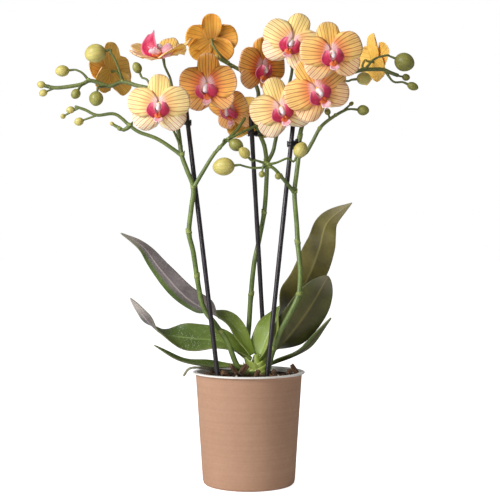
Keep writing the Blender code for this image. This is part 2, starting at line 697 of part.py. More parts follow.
def main():
    for old in list(bpy.data.objects):
        bpy.data.objects.remove(old)
    parts = collection("potted_orchid")
    guides = collection("guides")
    bark_cutters = collection("bark_cutters")

    make_cover_pot(parts)
    make_grow_pot(parts)
    stem_green = material("spike_green", (0.20, 0.25, 0.10), 0.5)
    leaf_green = material("leaf_green", (0.10, 0.16, 0.05), 0.4)
    root_grey = material("root_grey", (0.35, 0.30, 0.22), 0.8)
    stick_dark = material("stick_dark", (0.05, 0.03, 0.03), 0.5)
    clip_black = material("clip_black", (0.02, 0.02, 0.02), 0.4)

    make_crown("crown", 0, parts, leaf_green)
    make_crown("crown_cutter", GAP, bark_cutters, None)
    make_root("aerial_root", 0, parts, root_grey)
    make_root("aerial_root_cutter", GAP, bark_cutters, None)
    for side in SPIKES:
        make_spike(side, parts, stem_green)
        make_stem(f"stem_{side}_cutter", side, 2 * GAP, bark_cutters, None)
        make_stick("stick_" + side, side, 0, parts, stick_dark)
        make_stick(f"stick_{side}_cutter", side, GAP, bark_cutters, None)
        make_clip(side, parts, clip_black)
    hide_guides(bark_cutters)
    make_bark(parts, bark_cutters)
    for name in LEAVES:
        make_leaf(name, parts, leaf_green)
    make_blossoms(parts, guides)
    make_buds(parts)
    hide_guides(guides)


main()
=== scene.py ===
import math
import random

import bmesh
import bpy
from mathutils import Matrix, Vector


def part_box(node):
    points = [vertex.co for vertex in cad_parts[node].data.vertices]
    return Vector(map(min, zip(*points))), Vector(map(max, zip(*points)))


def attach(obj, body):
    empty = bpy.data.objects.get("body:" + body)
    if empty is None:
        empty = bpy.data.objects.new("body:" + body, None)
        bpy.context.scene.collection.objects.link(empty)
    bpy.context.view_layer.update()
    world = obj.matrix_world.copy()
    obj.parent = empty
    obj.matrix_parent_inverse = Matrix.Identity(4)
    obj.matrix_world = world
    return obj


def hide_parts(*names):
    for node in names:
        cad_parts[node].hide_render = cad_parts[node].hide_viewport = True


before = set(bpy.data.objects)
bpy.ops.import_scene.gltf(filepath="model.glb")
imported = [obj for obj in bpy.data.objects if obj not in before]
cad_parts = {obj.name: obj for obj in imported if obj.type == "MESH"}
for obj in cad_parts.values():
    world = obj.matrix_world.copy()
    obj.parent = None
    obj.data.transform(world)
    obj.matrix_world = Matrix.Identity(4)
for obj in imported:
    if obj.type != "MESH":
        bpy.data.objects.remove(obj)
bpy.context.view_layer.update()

mm = 0.001
worldUp = Vector((0, 0, 1))
mergeReach = 1e-6  # corners nearer than this are one
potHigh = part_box("cover_pot")[1]
growLow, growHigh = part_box("grow_pot")
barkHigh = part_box("bark_mix")[1]
rimHeight = potHigh.z  # every height on the plant is counted from the pot's rim
print("frame loaded, rim at", round(rimHeight, 4))


# places, routes and shapes

def place(point):
    return Vector((point[0] * mm, point[1] * mm, rimHeight + point[2] * mm))


def outwardAt(angle):
    turn = math.radians(angle)
    return Vector((math.cos(turn), math.sin(turn), 0))


def arc(centre, radius, angles):
    # points of a rounded edge in a turned profile
    return [(centre[0] + radius * math.cos(math.radians(angle)),
             centre[1] + radius * math.sin(math.radians(angle))) for angle in angles]


def routeThrough(points, step):
    # evenly cut smooth curve through the points
    ends = [2 * points[0] - points[1], *points, 2 * points[-1] - points[-2]]
    route = []
    for before, start, end, after in zip(ends, ends[1:], ends[2:], ends[3:]):
        pieces = max(1, round((end - start).length / step))
        for piece in range(pieces):
            t = piece / pieces
            route.append(0.5 * (2 * start + (end - before) * t
                                + (2 * before - 5 * start + 4 * end - after) * t ** 2
                                + (3 * start - before - 3 * end + after) * t ** 3))
    return [*route, points[-1]]


def headingsOf(route):
    last = len(route) - 1
    return [(route[min(i + 1, last)] - route[max(i - 1, 0)]).normalized() for i in range(last + 1)]


def framesAlong(route):
    # side and upper direction at each point, carried along without twist
    headings = headingsOf(route)
    side = headings[0].orthogonal().normalized()
    frames = []
    for heading in headings:
        side = (side - heading * side.dot(heading)).normalized()
        frames.append((side, heading.cross(side)))
    return frames


def domed(route, radii):
    # adds a rounded cap to both ends
    rings = list(zip(route, radii))
    first = (route[0] - route[1]).normalized() * radii[0]
    last = (route[-1] - route[-2]).normalized() * radii[-1]
    for angle in (30, 60, 90):
        turn = math.radians(angle)
        rings.insert(0, (route[0] + first * math.sin(turn), radii[0] * math.cos(turn)))
        rings.append((route[-1] + last * math.sin(turn), radii[-1] * math.cos(turn)))
    return [spot for spot, radius in rings], [radius for spot, radius in rings]


def gridInto(bm, rows, columns):
    # flat sheet with its UV along the rows, one unit wide each way about its middle
    return bmesh.ops.create_grid(bm, x_segments=rows, y_segments=columns, size=0.5,
                                 calc_uvs=True)["verts"]


def setFinish(verts, finish):
    for face in {face for vert in verts for face in vert.link_faces}:
        face.material_index = finish


def tubeInto(bm, route, radii, sides, finish=0):
    # round closed tube; its UV runs along and around
    route, radii = domed(route, radii)
    rings = len(route) - 1
    frames = framesAlong(route)
    verts = gridInto(bm, rings, sides)
    setFinish(verts, finish)
    for vert in verts:
        index = round((vert.co.x + 0.5) * rings)
        turn = -2 * math.pi * (vert.co.y + 0.5)
        side, upper = frames[index]
        vert.co = route[index] + (side * math.cos(turn) + upper * math.sin(turn)) * radii[index]
    bmesh.ops.remove_doubles(bm, verts=verts, dist=mergeReach)


def taperedRadii(count, start, end):
    return [start + (end - start) * index / (count - 1) for index in range(count)]


def ballInto(bm, centre, size, finish, segments=20, rings=12):
    # ball stretched to three half sizes
    verts = bmesh.ops.create_uvsphere(bm, u_segments=segments, v_segments=rings, radius=1,
                                      calc_uvs=True)["verts"]
    bmesh.ops.scale(bm, vec=size, verts=verts)
    bmesh.ops.translate(bm, vec=centre, verts=verts)
    setFinish(verts, finish)


def latheInto(bm, profile, steps):
    # full turn of a closed profile of (radius, height) about the pot's axis
    verts = [bm.verts.new((radius, 0, height)) for radius, height in profile]
    edges = [bm.edges.new((a, b)) for a, b in zip(verts, verts[1:])]
    bmesh.ops.spin(bm, geom=verts + edges, axis=(0, 0, 1), cent=(0, 0, 0), steps=steps,
                   angle=2 * math.pi, use_merge=True)
    bmesh.ops.remove_doubles(bm, verts=bm.verts, dist=mergeReach)
    bmesh.ops.recalc_face_normals(bm, faces=bm.faces)


def newFaces(bm, known):
    return [face for face in bm.faces if face not in known]


def thicken(bm, known, thickness):
    # turns the newly made sheets into closed walls that face outwards
    bm.normal_update()
    bmesh.ops.solidify(bm, geom=newFaces(bm, known), thickness=thickness)
    bmesh.ops.recalc_face_normals(bm, faces=newFaces(bm, known))
    bm.normal_update()
    return newFaces(bm, known)


def newMesh():
    bm = bmesh.new()
    bm.loops.layers.uv.verify()
    return bm


def addObject(name, data):
    added = bpy.data.objects.new(name, data)
    bpy.context.scene.collection.objects.link(added)
    return added


def addPiece(name, bm, finishes, slotName, *nodeNames, smooth=True):
    mesh = bpy.data.meshes.new(name)
    bm.to_mesh(mesh)
    bm.free()
    for finish in finishes:
        mesh.materials.append(finish)
    if smooth:
        mesh.shade_smooth()
    piece = addObject(name, mesh)
    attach(piece, "root")
    if nodeNames:
        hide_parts(*nodeNames)
    return piece


# node kit

def tint(red, green, blue):
    # display colour 0 to 255 as the shader's linear colour
    def linear(value):
        value /= 255
        return value / 12.92 if value <= 0.04045 else ((value + 0.055) / 1.055) ** 2.4
    return (linear(red), linear(green), linear(blue), 1)


def addNode(tree, kind, values=None, **settings):
    node = tree.nodes.new("ShaderNode" + kind)
    for key, value in settings.items():
        setattr(node, key, value)
    for key, value in (values or {}).items():
        if isinstance(value, bpy.types.NodeSocket):
            tree.links.new(value, node.inputs[key])
        else:
            node.inputs[key].default_value = value
    return node


def calc(tree, operation, first, second=0.0, clamp=False):
    return addNode(tree, "Math", {0: first, 1: second}, operation=operation,
                   use_clamp=clamp).outputs[0]


def rise(tree, value, start, end, low=0.0, high=1.0):
    # smooth step from low to high
    return addNode(tree, "MapRange", {"Value": value, "From Min": start, "From Max": end,
                                      "To Min": low, "To Max": high},
                   interpolation_type="SMOOTHSTEP").outputs["Result"]


def mixColour(tree, share, first, second):
    return addNode(tree, "Mix", {0: share, 6: first, 7: second}, data_type="RGBA").outputs[2]


def noiseAt(tree, vector, scale, detail=3.0, roughness=0.5):
    return addNode(tree, "TexNoise", {"Vector": vector, "Scale": scale, "Detail": detail,
                                      "Roughness": roughness}).outputs["Fac"]


def stretched(tree, vector, scale):
    return addNode(tree, "Mapping", {"Vector": vector, "Scale": scale}).outputs["Vector"]


def makeGroup(name, inputs, outputs):
    group = bpy.data.node_groups.new(name, "ShaderNodeTree")
    for label, kind, value in inputs:
        socket = group.interface.new_socket(name=label, in_out="INPUT",
                                            socket_type="NodeSocket" + kind)
        if value is not None:
            socket.default_value = value
    for label, kind in outputs:
        group.interface.new_socket(name=label, in_out="OUTPUT", socket_type="NodeSocket" + kind)
    taken, given = group.nodes.new("NodeGroupInput"), group.nodes.new("NodeGroupOutput")
    return group, taken.outputs, given.inputs


def useGroup(tree, group, values):
    return addNode(tree, "Group", values, node_tree=group).outputs


def makeVeinGroup():
    # lines that run along a blade, wavering a little, with finer ones between them further out
    group, take, give = makeGroup("bladeVeins", [
        ("Along", "Float", 0.5), ("Across", "Float", 0.5), ("Count", "Float", 9.0),
        ("Width", "Float", 0.45), ("Waver", "Float", 0.3)], [("Mask", "Float")])
    lane = calc(group, "MULTIPLY", take["Across"], take["Count"])
    far = calc(group, "MULTIPLY", take["Along"], 2.2)
    spot = addNode(group, "CombineXYZ", {"X": far, "Y": lane}).outputs[0]
    drift = calc(group, "SUBTRACT", noiseAt(group, spot, 0.8, 2.0), 0.5)
    line = calc(group, "ADD", lane, calc(group, "MULTIPLY", drift, take["Waver"]))
    masks = []
    for factor in (1, 2):
        share = calc(group, "FRACT", calc(group, "MULTIPLY", line, float(factor)))
        offMiddle = calc(group, "ABSOLUTE", calc(group, "SUBTRACT", share, 0.5))
        edge = calc(group, "MULTIPLY", offMiddle, 2.0)
        wide = calc(group, "MULTIPLY", take["Width"], float(factor) * 0.8)
        low = calc(group, "SUBTRACT", 1.0, wide)
        masks.append(rise(group, edge, low, 1.0))
    fine = calc(group, "MULTIPLY", masks[1], rise(group, take["Along"], 0.5, 0.85, 0.0, 0.5))
    group.links.new(calc(group, "MAXIMUM", masks[0], fine), give["Mask"])
    return group


def makeMottleGroup():
    # broad and fine unevenness, for colour and for the surface's height
    group, take, give = makeGroup("softMottle", [
        ("Vector", "Vector", None), ("Scale", "Float", 60.0), ("Contrast", "Float", 1.0)],
        [("Shade", "Float"), ("Height", "Float")])
    broad = noiseAt(group, take["Vector"], take["Scale"], 3.0)
    fine = noiseAt(group, take["Vector"], calc(group, "MULTIPLY", take["Scale"], 7.0), 4.0, 0.6)
    both = calc(group, "ADD", calc(group, "MULTIPLY", broad, 0.65),
                calc(group, "MULTIPLY", fine, 0.35))
    middle = calc(group, "MULTIPLY", calc(group, "SUBTRACT", both, 0.5), take["Contrast"])
    shade = calc(group, "ADD", calc(group, "MULTIPLY", middle, 2.5), 0.5, clamp=True)
    group.links.new(shade, give["Shade"])
    group.links.new(both, give["Height"])
    return group


def makeSpeckGroup():
    # small scattered dots
    group, take, give = makeGroup("scatteredSpecks", [
        ("Vector", "Vector", None), ("Scale", "Float", 700.0), ("Size", "Float", 0.25),
        ("Share", "Float", 0.5)], [("Mask", "Float")])
    cells = addNode(group, "TexVoronoi", {"Vector": take["Vector"], "Scale": take["Scale"]})
    core = calc(group, "MULTIPLY", take["Size"], 0.6)
    beyond = rise(group, cells.outputs["Distance"], core, take["Size"])
    dots = calc(group, "SUBTRACT", 1.0, beyond)
    patches = noiseAt(group, take["Vector"], calc(group, "MULTIPLY", take["Scale"], 0.12), 1.0)
    crowded = rise(group, patches, calc(group, "SUBTRACT", 1.0, take["Share"]), 0.7)
    group.links.new(calc(group, "MULTIPLY", dots, crowded), give["Mask"])
    return group


veinGroup = makeVeinGroup()
mottleGroup = makeMottleGroup()
speckGroup = makeSpeckGroup()


class Finish:
    # a material under construction: its tree, shader and the coordinates that its pattern uses
    def __init__(self, name, roughness, coat=0.0, sheen=0.0, subsurface=0.0):
        self.material = bpy.data.materials.new(name)
        self.material.use_nodes = True
        self.tree = self.material.node_tree
        self.shader = self.tree.nodes["Principled BSDF"]
        self.shader.inputs["Roughness"].default_value = roughness
        self.shader.inputs["Coat Weight"].default_value = coat
        self.shader.inputs["Coat Roughness"].default_value = 0.25
        self.shader.inputs["Sheen Weight"].default_value = sheen
        if subsurface:
            self.shader.inputs["Subsurface Weight"].default_value = subsurface
            self.shader.inputs["Subsurface Radius"].default_value = (1.0, 0.6, 0.3)
            self.shader.inputs["Subsurface Scale"].default_value = 0.002
        self.spot = addNode(self.tree, "TexCoord").outputs["Object"]
        parts = addNode(self.tree, "SeparateXYZ", {0: addNode(self.tree, "UVMap").outputs[0]})
        self.along, self.across = parts.outputs[0], parts.outputs[1]

    def mark(self, name):
        return addNode(self.tree, "Attribute", attribute_name=name).outputs["Fac"]

    def calc(self, operation, first, second=0.0):
        return calc(self.tree, operation, first, second)

    def rise(self, *limits):
        return rise(self.tree, *limits)

    def offMiddle(self, value):
        return self.calc("ABSOLUTE", self.calc("SUBTRACT", value, 0.5))

    def level(self):
        return addNode(self.tree, "SeparateXYZ", {0: self.spot}).outputs[2]

    def over(self, colour, mask, top, strength=None):
        # lays another colour over the first as far as the mask and the strength say
        share = mask if strength is None else self.calc("MULTIPLY", mask, strength)
        return mixColour(self.tree, share, colour, tint(*top))

    def streaks(self, scale, detail, roughness=0.5):
        # noise drawn out along one axis
        return noiseAt(self.tree, stretched(self.tree, self.spot, scale), 1.0, detail, roughness)

    def mottle(self, scale, contrast=1.0):
        return useGroup(self.tree, mottleGroup, {"Vector": self.spot, "Scale": scale,
                                                 "Contrast": contrast})

    def veins(self, count, width, waver):
        values = {"Along": self.along, "Across": self.across, "Count": count, "Width": width,
                  "Waver": waver}
        return useGroup(self.tree, veinGroup, values)["Mask"]

    def specks(self, scale, size, share):
        return useGroup(self.tree, speckGroup, {"Vector": self.spot, "Scale": scale, "Size": size,
                                                "Share": share})["Mask"]

    def finish(self, colour, height=None, strength=0.3, distance=0.0005, roughness=None):
        self.tree.links.new(colour, self.shader.inputs["Base Color"])
        if roughness is not None:
            self.tree.links.new(roughness, self.shader.inputs["Roughness"])
        if height is not None:
            bump = addNode(self.tree, "Bump", {"Height": height, "Strength": strength,
                                               "Distance": distance})
            self.tree.links.new(bump.outputs[0], self.shader.inputs["Normal"])
        return self.material


def twoTone(finish, share, first, second):
    return mixColour(finish.tree, share, tint(*first), tint(*second))


# finishes

def makePlain(name, roughness, scale, contrast, dark, light, strength, subsurface=0.0,
              distance=0.0005):
    # one mottled colour
    f = Finish(name, roughness, subsurface=subsurface)
    clouds = f.mottle(scale, contrast)
    return f.finish(twoTone(f, clouds["Shade"], dark, light), clouds["Height"], strength, distance)


def makePotClay():
    f = Finish("potClay", 0.78)
    bands = f.streaks((4, 4, 420), 3.0, 0.6)
    clouds = f.mottle(14.0)
    colour = twoTone(f, clouds["Shade"], (180, 139, 112), (192, 152, 124))
    colour = f.over(colour, f.rise(bands, 0.35, 0.7, 0.0, 0.35), (170, 128, 101))
    grain = f.mottle(380.0)
    colour = f.over(colour, grain["Shade"], (146, 106, 80), 0.16)
    height = f.calc("ADD", f.calc("MULTIPLY", bands, 0.6), grain["Height"])
    return f.finish(colour, height, 0.22, 0.0004, f.rise(grain["Shade"], 0.0, 1.0, 0.7, 0.86))


def makeGrowPlastic():
    f = Finish("growPotPlastic", 0.42)
    lines = f.streaks((2, 2, 300), 2.0)
    clouds = f.mottle(40.0)
    return f.finish(twoTone(f, clouds["Shade"], (46, 50, 44), (66, 70, 60)), lines, 0.3, 0.0004)


def makeBark(name, dark, light):
    f = Finish(name, 0.85)
    grain = f.streaks((500, 500, 160), 5.0, 0.65)
    clouds = f.mottle(160.0, 1.4)
    colour = twoTone(f, clouds["Shade"], dark, light)
    colour = f.over(colour, f.rise(grain, 0.45, 0.7, 0.0, 0.55), (34, 22, 16))
    if "chip" in name:
        colour = f.over(colour, f.mark("tone"), (28, 20, 17))
    return f.finish(colour, grain, 0.8, 0.0008)


def makeLeafTop():
    f = Finish("leafTop", 0.36, coat=0.12)
    clouds = f.mottle(45.0, 1.2)
    colour = twoTone(f, clouds["Shade"], (66, 86, 32), (104, 124, 52))
    base = f.rise(f.along, 0.0, 0.4, 1.0, 0.0)
    colour = f.over(colour, base, (160, 182, 76), 0.95)
    lines = f.veins(34.0, 0.7, 0.4)
    colour = f.over(colour, lines, (128, 150, 80), 0.16)
    offRib = f.offMiddle(f.across)
    rib = f.rise(offRib, 0.012, 0.05, 1.0, 0.0)
    colour = f.over(colour, rib, (150, 176, 96), 0.45)
    edge = f.rise(offRib, 0.44, 0.5)
    colour = f.over(colour, edge, (128, 118, 82), 0.5)
    dust = f.specks(620.0, 0.3, 0.62)
    colour = f.over(colour, dust, (214, 222, 196), 0.75)
    height = f.calc("ADD", f.calc("MULTIPLY", lines, 0.4), clouds["Height"])
    return f.finish(colour, height, 0.25, 0.0004, f.rise(clouds["Shade"], 0.0, 1.0, 0.3, 0.44))


def makeLeafUnder(name, dark, light, ribColour):
    f = Finish(name, 0.5)
    clouds = f.mottle(55.0, 1.3)
    colour = twoTone(f, clouds["Shade"], dark, light)
    lines = f.veins(30.0, 0.7, 0.4)
    colour = f.over(colour, lines, ribColour, 0.2)
    green = twoTone(f, clouds["Shade"], (70, 92, 30), (98, 122, 46))
    colour = mixColour(f.tree, f.mark("green"), colour, green)
    base = f.rise(f.along, 0.0, 0.3, 0.8, 0.0)
    colour = f.over(colour, base, (150, 172, 84))
    offRib = f.offMiddle(f.across)
    rib = f.rise(offRib, 0.01, 0.045, 1.0, 0.0)
    colour = f.over(colour, rib, ribColour, 0.75)
    tip = f.rise(f.along, 0.8, 0.95, 0.0, 0.7 if "Purple" in name else 0.12)
    colour = f.over(colour, tip, (186, 176, 166))
    return f.finish(colour, clouds["Height"], 0.2, 0.0004)


def makeSheath():
    f = Finish("sheathGreen", 0.42, coat=0.08)
    clouds = f.mottle(80.0, 1.2)
    colour = twoTone(f, clouds["Shade"], (138, 162, 58), (180, 198, 90))
    low = f.rise(f.level(), rimHeight - 0.006, rimHeight + 0.02, 0.8, 0.0)
    colour = f.over(colour, low, (204, 214, 118))
    streaks = f.streaks((500, 500, 40), 3.0)
    colour = f.over(colour, f.rise(streaks, 0.45, 0.7, 0.0, 0.3), (110, 134, 48))
    return f.finish(colour, streaks, 0.25, 0.0004)


def makeStemGreen():
    f = Finish("stemGreen", 0.45, coat=0.08)
    clouds = f.mottle(70.0, 1.2)
    colour = twoTone(f, clouds["Shade"], (84, 104, 44), (120, 138, 66))
    high = f.rise(f.level(), rimHeight + 0.15,
                rimHeight + 0.29, 0.0, 0.75)
    brown = twoTone(f, clouds["Shade"], (78, 84, 46), (120, 124, 66))
    colour = mixColour(f.tree, high, colour, brown)
    streaks = f.streaks((700, 700, 60), 3.0)
    colour = f.over(colour, f.rise(streaks, 0.45, 0.75, 0.0, 0.35), (70, 84, 46))
    return f.finish(colour, streaks, 0.2, 0.0003)


def makeStickDark():
    f = Finish("stickDark", 0.34, coat=0.1)
    ridges = f.streaks((900, 900, 25), 3.0, 0.6)
    clouds = f.mottle(90.0)
    colour = twoTone(f, clouds["Shade"], (24, 18, 22), (42, 32, 39))
    return f.finish(colour, ridges, 0.35, 0.0004, f.rise(clouds["Shade"], 0.0, 1.0, 0.28, 0.5))


def makePetal(name, values, back=False):
    f = Finish(name, 0.6, subsurface=0.12)
    clouds = f.mottle(110.0, 1.1)
    colour = twoTone(f, clouds["Shade"], values["deep"], values["body"])
    if back:
        colour = f.over(colour, f.rise(f.along, 0.05, 0.9, 0.75, 0.1), values["rear"])
        lines = f.veins(6.5, 0.6, 0.5)
        colour = f.over(colour, lines, values["rearVein"], 0.4)
        return f.finish(colour, lines, 0.25, 0.0003)
    flush = f.rise(f.along, 0.15, 0.75, 1.0, 0.0)
    flush = f.calc("MULTIPLY", flush, f.rise(f.mark("blush"), 0.05, 0.3, 0.25, 1.0))
    colour = f.over(colour, flush, values["flush"], values["flushShare"])
    blush = f.calc("MULTIPLY", f.mark("blush"), f.rise(f.along, 0.35, 0.9, 0.2, 0.85))
    colour = f.over(colour, blush, values["blush"])
    heart = f.rise(f.along, 0.1, 0.3, 0.8, 0.0)
    colour = f.over(colour, heart, (252, 214, 216))
    ragged = f.calc("ADD", f.along, f.calc("MULTIPLY", clouds["Shade"], 0.06))
    rim = f.rise(ragged, 0.93, 1.03)
    colour = f.over(colour, rim, (252, 222, 190), 0.5)
    lines = f.veins(7.5, 0.55, 0.55)
    red = mixColour(f.tree, f.mark("blush"), tint(*values["vein"]), tint(*values["redVein"]))
    strength = f.calc("MULTIPLY", lines, f.rise(f.along, 0.12, 0.4, 0.35, 0.8))
    colour = mixColour(f.tree, strength, colour, red)
    height = f.calc("SUBTRACT", clouds["Height"], f.calc("MULTIPLY", lines, 0.5))
    return f.finish(colour, height, 0.3, 0.0004)


def makeLip(name, dark, light, edge):
    f = Finish(name, 0.42, sheen=0.1, subsurface=0.1)
    clouds = f.mottle(260.0, 1.3)
    colour = twoTone(f, clouds["Shade"], dark, light)
    lines = f.veins(6.0, 0.5, 0.6)
    colour = f.over(colour, lines, dark, 0.45)
    rim = f.rise(f.offMiddle(f.across), 0.4, 0.5)
    colour = f.over(colour, rim, edge, 0.75)
    colour = f.over(colour, f.rise(f.along, 0.55, 1.0, 0.0, 0.5), edge)
    colour = f.over(colour, f.rise(f.along, 0.0, 0.3, 0.6, 0.0), dark)
    return f.finish(colour, clouds["Height"], 0.25, 0.0003)


def makeThroat():
    f = Finish("lipThroat", 0.4)
    clouds = f.mottle(420.0, 1.5)
    dots = f.specks(1600.0, 0.4, 0.75)
    colour = twoTone(f, clouds["Shade"], (206, 70, 34), (240, 138, 62))
    colour = f.over(colour, dots, (150, 20, 30))
    return f.finish(colour, clouds["Height"], 0.3, 0.0003)


def makeBudSkin(name, dark, light, shade):
    f = Finish(name, 0.45, coat=0.06)
    clouds = f.mottle(90.0, 1.2)
    colour = twoTone(f, clouds["Shade"], dark, light)
    spread = f.calc("FRACT", f.calc("MULTIPLY", f.along, 14.0))
    lines = f.rise(f.offMiddle(spread), 0.3, 0.5)
    colour = f.over(colour, lines, shade, 0.22)
    foot = f.rise(f.across, 0.0, 0.35, 0.55, 0.0)
    colour = f.over(colour, foot, shade)
    return f.finish(colour, clouds["Height"], 0.2, 0.0003)


# pale and warm are the flowers' own range of colour; the deep tone is a shaded copy of them, its
# darker, stronger orange fronts and rears being painted shade with the glow of light through the
# petals, for blossoms that sit in shadow
petalTones = {
    "pale": dict(body=(255, 234, 150), deep=(254, 218, 124), flush=(255, 176, 112), flushShare=0.85,
                 vein=(176, 108, 44), redVein=(206, 96, 80), blush=(255, 242, 216),
                 rear=(204, 158, 56), rearVein=(148, 102, 30)),
    "warm": dict(body=(255, 216, 116), deep=(254, 194, 84), flush=(248, 124, 72), flushShare=0.95,
                 vein=(156, 76, 24), redVein=(192, 70, 52), blush=(253, 220, 176),
                 rear=(234, 176, 60), rearVein=(168, 112, 32)),
    "deep": dict(body=(250, 190, 70), deep=(242, 156, 42), flush=(228, 88, 36), flushShare=1.0,
                 vein=(146, 58, 18), redVein=(172, 46, 40), blush=(244, 190, 122),
                 rear=(164, 108, 20), rearVein=(110, 66, 12)),
}
petalFronts = {tone: makePetal("petalFront_" + tone, values)
               for tone, values in petalTones.items()}
petalBacks = {tone: makePetal("petalBack_" + tone, values, back=True)
              for tone, values in petalTones.items()}
lipCrimson = makeLip("lipCrimson", (168, 10, 50), (218, 36, 92), (240, 140, 166))
lipPale = makeLip("lipPale", (222, 120, 140), (248, 206, 208), (252, 232, 228))
lipThroat = makeThroat()
bloomColumn = makePlain("bloomColumn", 0.4, 240.0, 1.2, (250, 214, 220), (255, 244, 240), 0.2, 0.15,
                        0.0003)
potClay, growPlastic = makePotClay(), makeGrowPlastic()
potWhite = makePlain("potWhite", 0.5, 120.0, 1.0, (232, 226, 218), (245, 241, 236), 0.15)
barkDark = makeBark("barkHeap", (40, 28, 21), (66, 47, 34))
barkChip = makeBark("bark_chip", (84, 58, 38), (140, 104, 72))
perlite = makePlain("perlite", 0.8, 900.0, 1.5, (205, 200, 190), (240, 238, 232), 0.6)
leafTop = makeLeafTop()
leafUnders = {
    "purple": makeLeafUnder("leafUnderPurple", (78, 68, 68), (122, 112, 111), (178, 166, 163)),
    "olive": makeLeafUnder("leafUnderOlive", (76, 70, 24), (110, 100, 40), (142, 132, 72)),
    # a darker copy of the olive underside: painted shade for the right-hand leaves that sit out of
    # the key light
    "olivePaintedShade": makeLeafUnder("leafUnderOlivePaintedShade", (46, 48, 12), (74, 70, 22), (108, 100, 46)),
}
sheathGreen = makeSheath()
stemGreen, stickDark = makeStemGreen(), makeStickDark()
stemBract = makePlain("stemBract", 0.6, 260.0, 1.3, (116, 130, 60), (150, 160, 88), 0.3)
rootSkin = makePlain("rootSkin", 0.8, 150.0, 1.5, (112, 116, 84), (170, 164, 138), 0.5)
clipPlastic = makePlain("clipPlastic", 0.35, 300.0, 1.0, (20, 19, 20), (38, 36, 37), 0.2)
budYellow = makeBudSkin("budYellow", (176, 162, 76), (218, 204, 122), (118, 112, 44))
budOlive = makeBudSkin("budOlive", (116, 116, 50), (160, 156, 76), (84, 82, 34))
print("finishes made:", len(bpy.data.materials))


# cover pot and grow pot

potShape = dict(baseRadius=0.0435, topRadius=0.0505, wall=0.0028, floor=0.0045, corner=0.003,
                lipReach=potHigh.x - 0.0505, lipThickness=0.0016, steps=128)


def makeCoverPot(s):
    top, foot, wall, floor, corner = rimHeight, s["baseRadius"], s["wall"], s["floor"], s["corner"]
    inner, inside = s["topRadius"] - wall, foot - wall
    lip, half = s["topRadius"] + s["lipReach"], s["lipThickness"] / 2
    profile = [(0, floor), (inside - 0.003, floor), (inside - 0.0008, floor + 0.0008),
               (inside + 0.0004, floor + 0.003)]
    profile += [(inside + (inner - foot + wall) * share, floor + (top - floor) * share)
                for share in (0.25, 0.5, 0.75, 0.93)]
    profile += [(inner + 0.0003, top - 0.0012), (inner + 0.001, top - 0.0002),
                (inner + 0.0016, top)]
    profile += arc((lip - half, top - half), half, (90, 60, 30, 0, -30, -60, -90))  # rolled lip
    under = top - s["lipThickness"]
    slope = (s["topRadius"] - foot) / top
    profile += [(s["topRadius"] + 0.0006, under - 0.0001),
                (s["topRadius"] - 0.0001, under - 0.0008)]
    profile += [(foot + slope * height, height)
                for height in (0.1, 0.09, 0.07, 0.05, 0.03, 0.012, 0.0045)]
    profile += arc((foot - corner, corner), corner, (0, -30, -60, -90))
    profile += [(foot - 0.006, 0), (foot - 0.0075, 0.0012), (0, 0.0012)]
    bm = newMesh()
    latheInto(bm, profile, s["steps"])
    for face in bm.faces:  # the inside and the lip are pale
        middle = face.calc_center_median()
        within = math.hypot(middle.x, middle.y) < foot + slope * middle.z - wall * 0.6
        if middle.z > under - 0.0001 or (within and middle.z > floor - 0.001):
            face.material_index = 1
    return addPiece("cover_pot_body", bm, [potClay, potWhite], "cover_pot", "cover_pot")


growShape = dict(wall=0.001, taper=0.0066, rim=0.0007, hole=0.006, steps=96)


def makeGrowPot(s):
    top, foot, topRadius, wall, rim = growHigh.z, growLow.z, growHigh.x, s["wall"], s["rim"]
    footRadius = topRadius - s["taper"]
    profile = [(s["hole"], foot + wall)]
    profile += [(footRadius - wall + (topRadius - footRadius) * share,
                 foot + wall + (top - foot - wall - 2 * rim) * share)
                for share in (0, 0.2, 0.4, 0.6, 0.8, 1)]
    profile += arc((topRadius - rim, top - rim), rim, (180, 135, 90, 45, 0))
    profile += [(topRadius - 0.0001, top - 0.0024), (footRadius, foot), (s["hole"], foot),
                (s["hole"], foot + wall)]
    bm = newMesh()
    latheInto(bm, profile, s["steps"])
    return addPiece("grow_pot_body", bm, [growPlastic], "grow_pot", "grow_pot")


makeCoverPot(potShape)
makeGrowPot(growShape)
print("pots made")


# bark, laid around the crown

crownPlace = (7, 0)
crownRadius = 0.006
barkLayer = dict(chips=330, seed=11, radius=growHigh.x - 0.004, size=(0.0075, 0.0045, 0.0022),
                 perlite=26, crownGap=0.008)
tallChips = [  # place, length and turns
    ((-14, -23, 4), 12, (12, 50, 20)), ((-5, -22, 3.5), 11, (60, -35, 60)),
    ((43, -6, 2.5), 10, (20, 60, 10)), ((38, -15, 1), 8, (60, 10, 80)),
    ((-22, -30, 0.5), 8, (80, 20, 30)), ((24, -31, 0.5), 8, (15, 70, 50)),
    ((8, -30, 1), 8, (40, 40, 120)), ((-36, 8, 1), 8, (30, 60, 10))]


def heapHeight(radius):
    share = min(1, radius / barkLayer["radius"])
    return barkHigh.z - 0.0012 - 0.0038 * share ** 2


def spotOnHeap(radius, angle, lift):
    return Vector((radius * math.cos(angle), radius * math.sin(angle), heapHeight(radius) + lift))


def turned(*steps):
    matrix = Matrix.Identity(4)
    for axis, angle in steps:
        matrix = matrix @ Matrix.Rotation(angle, 4, axis)
    return matrix


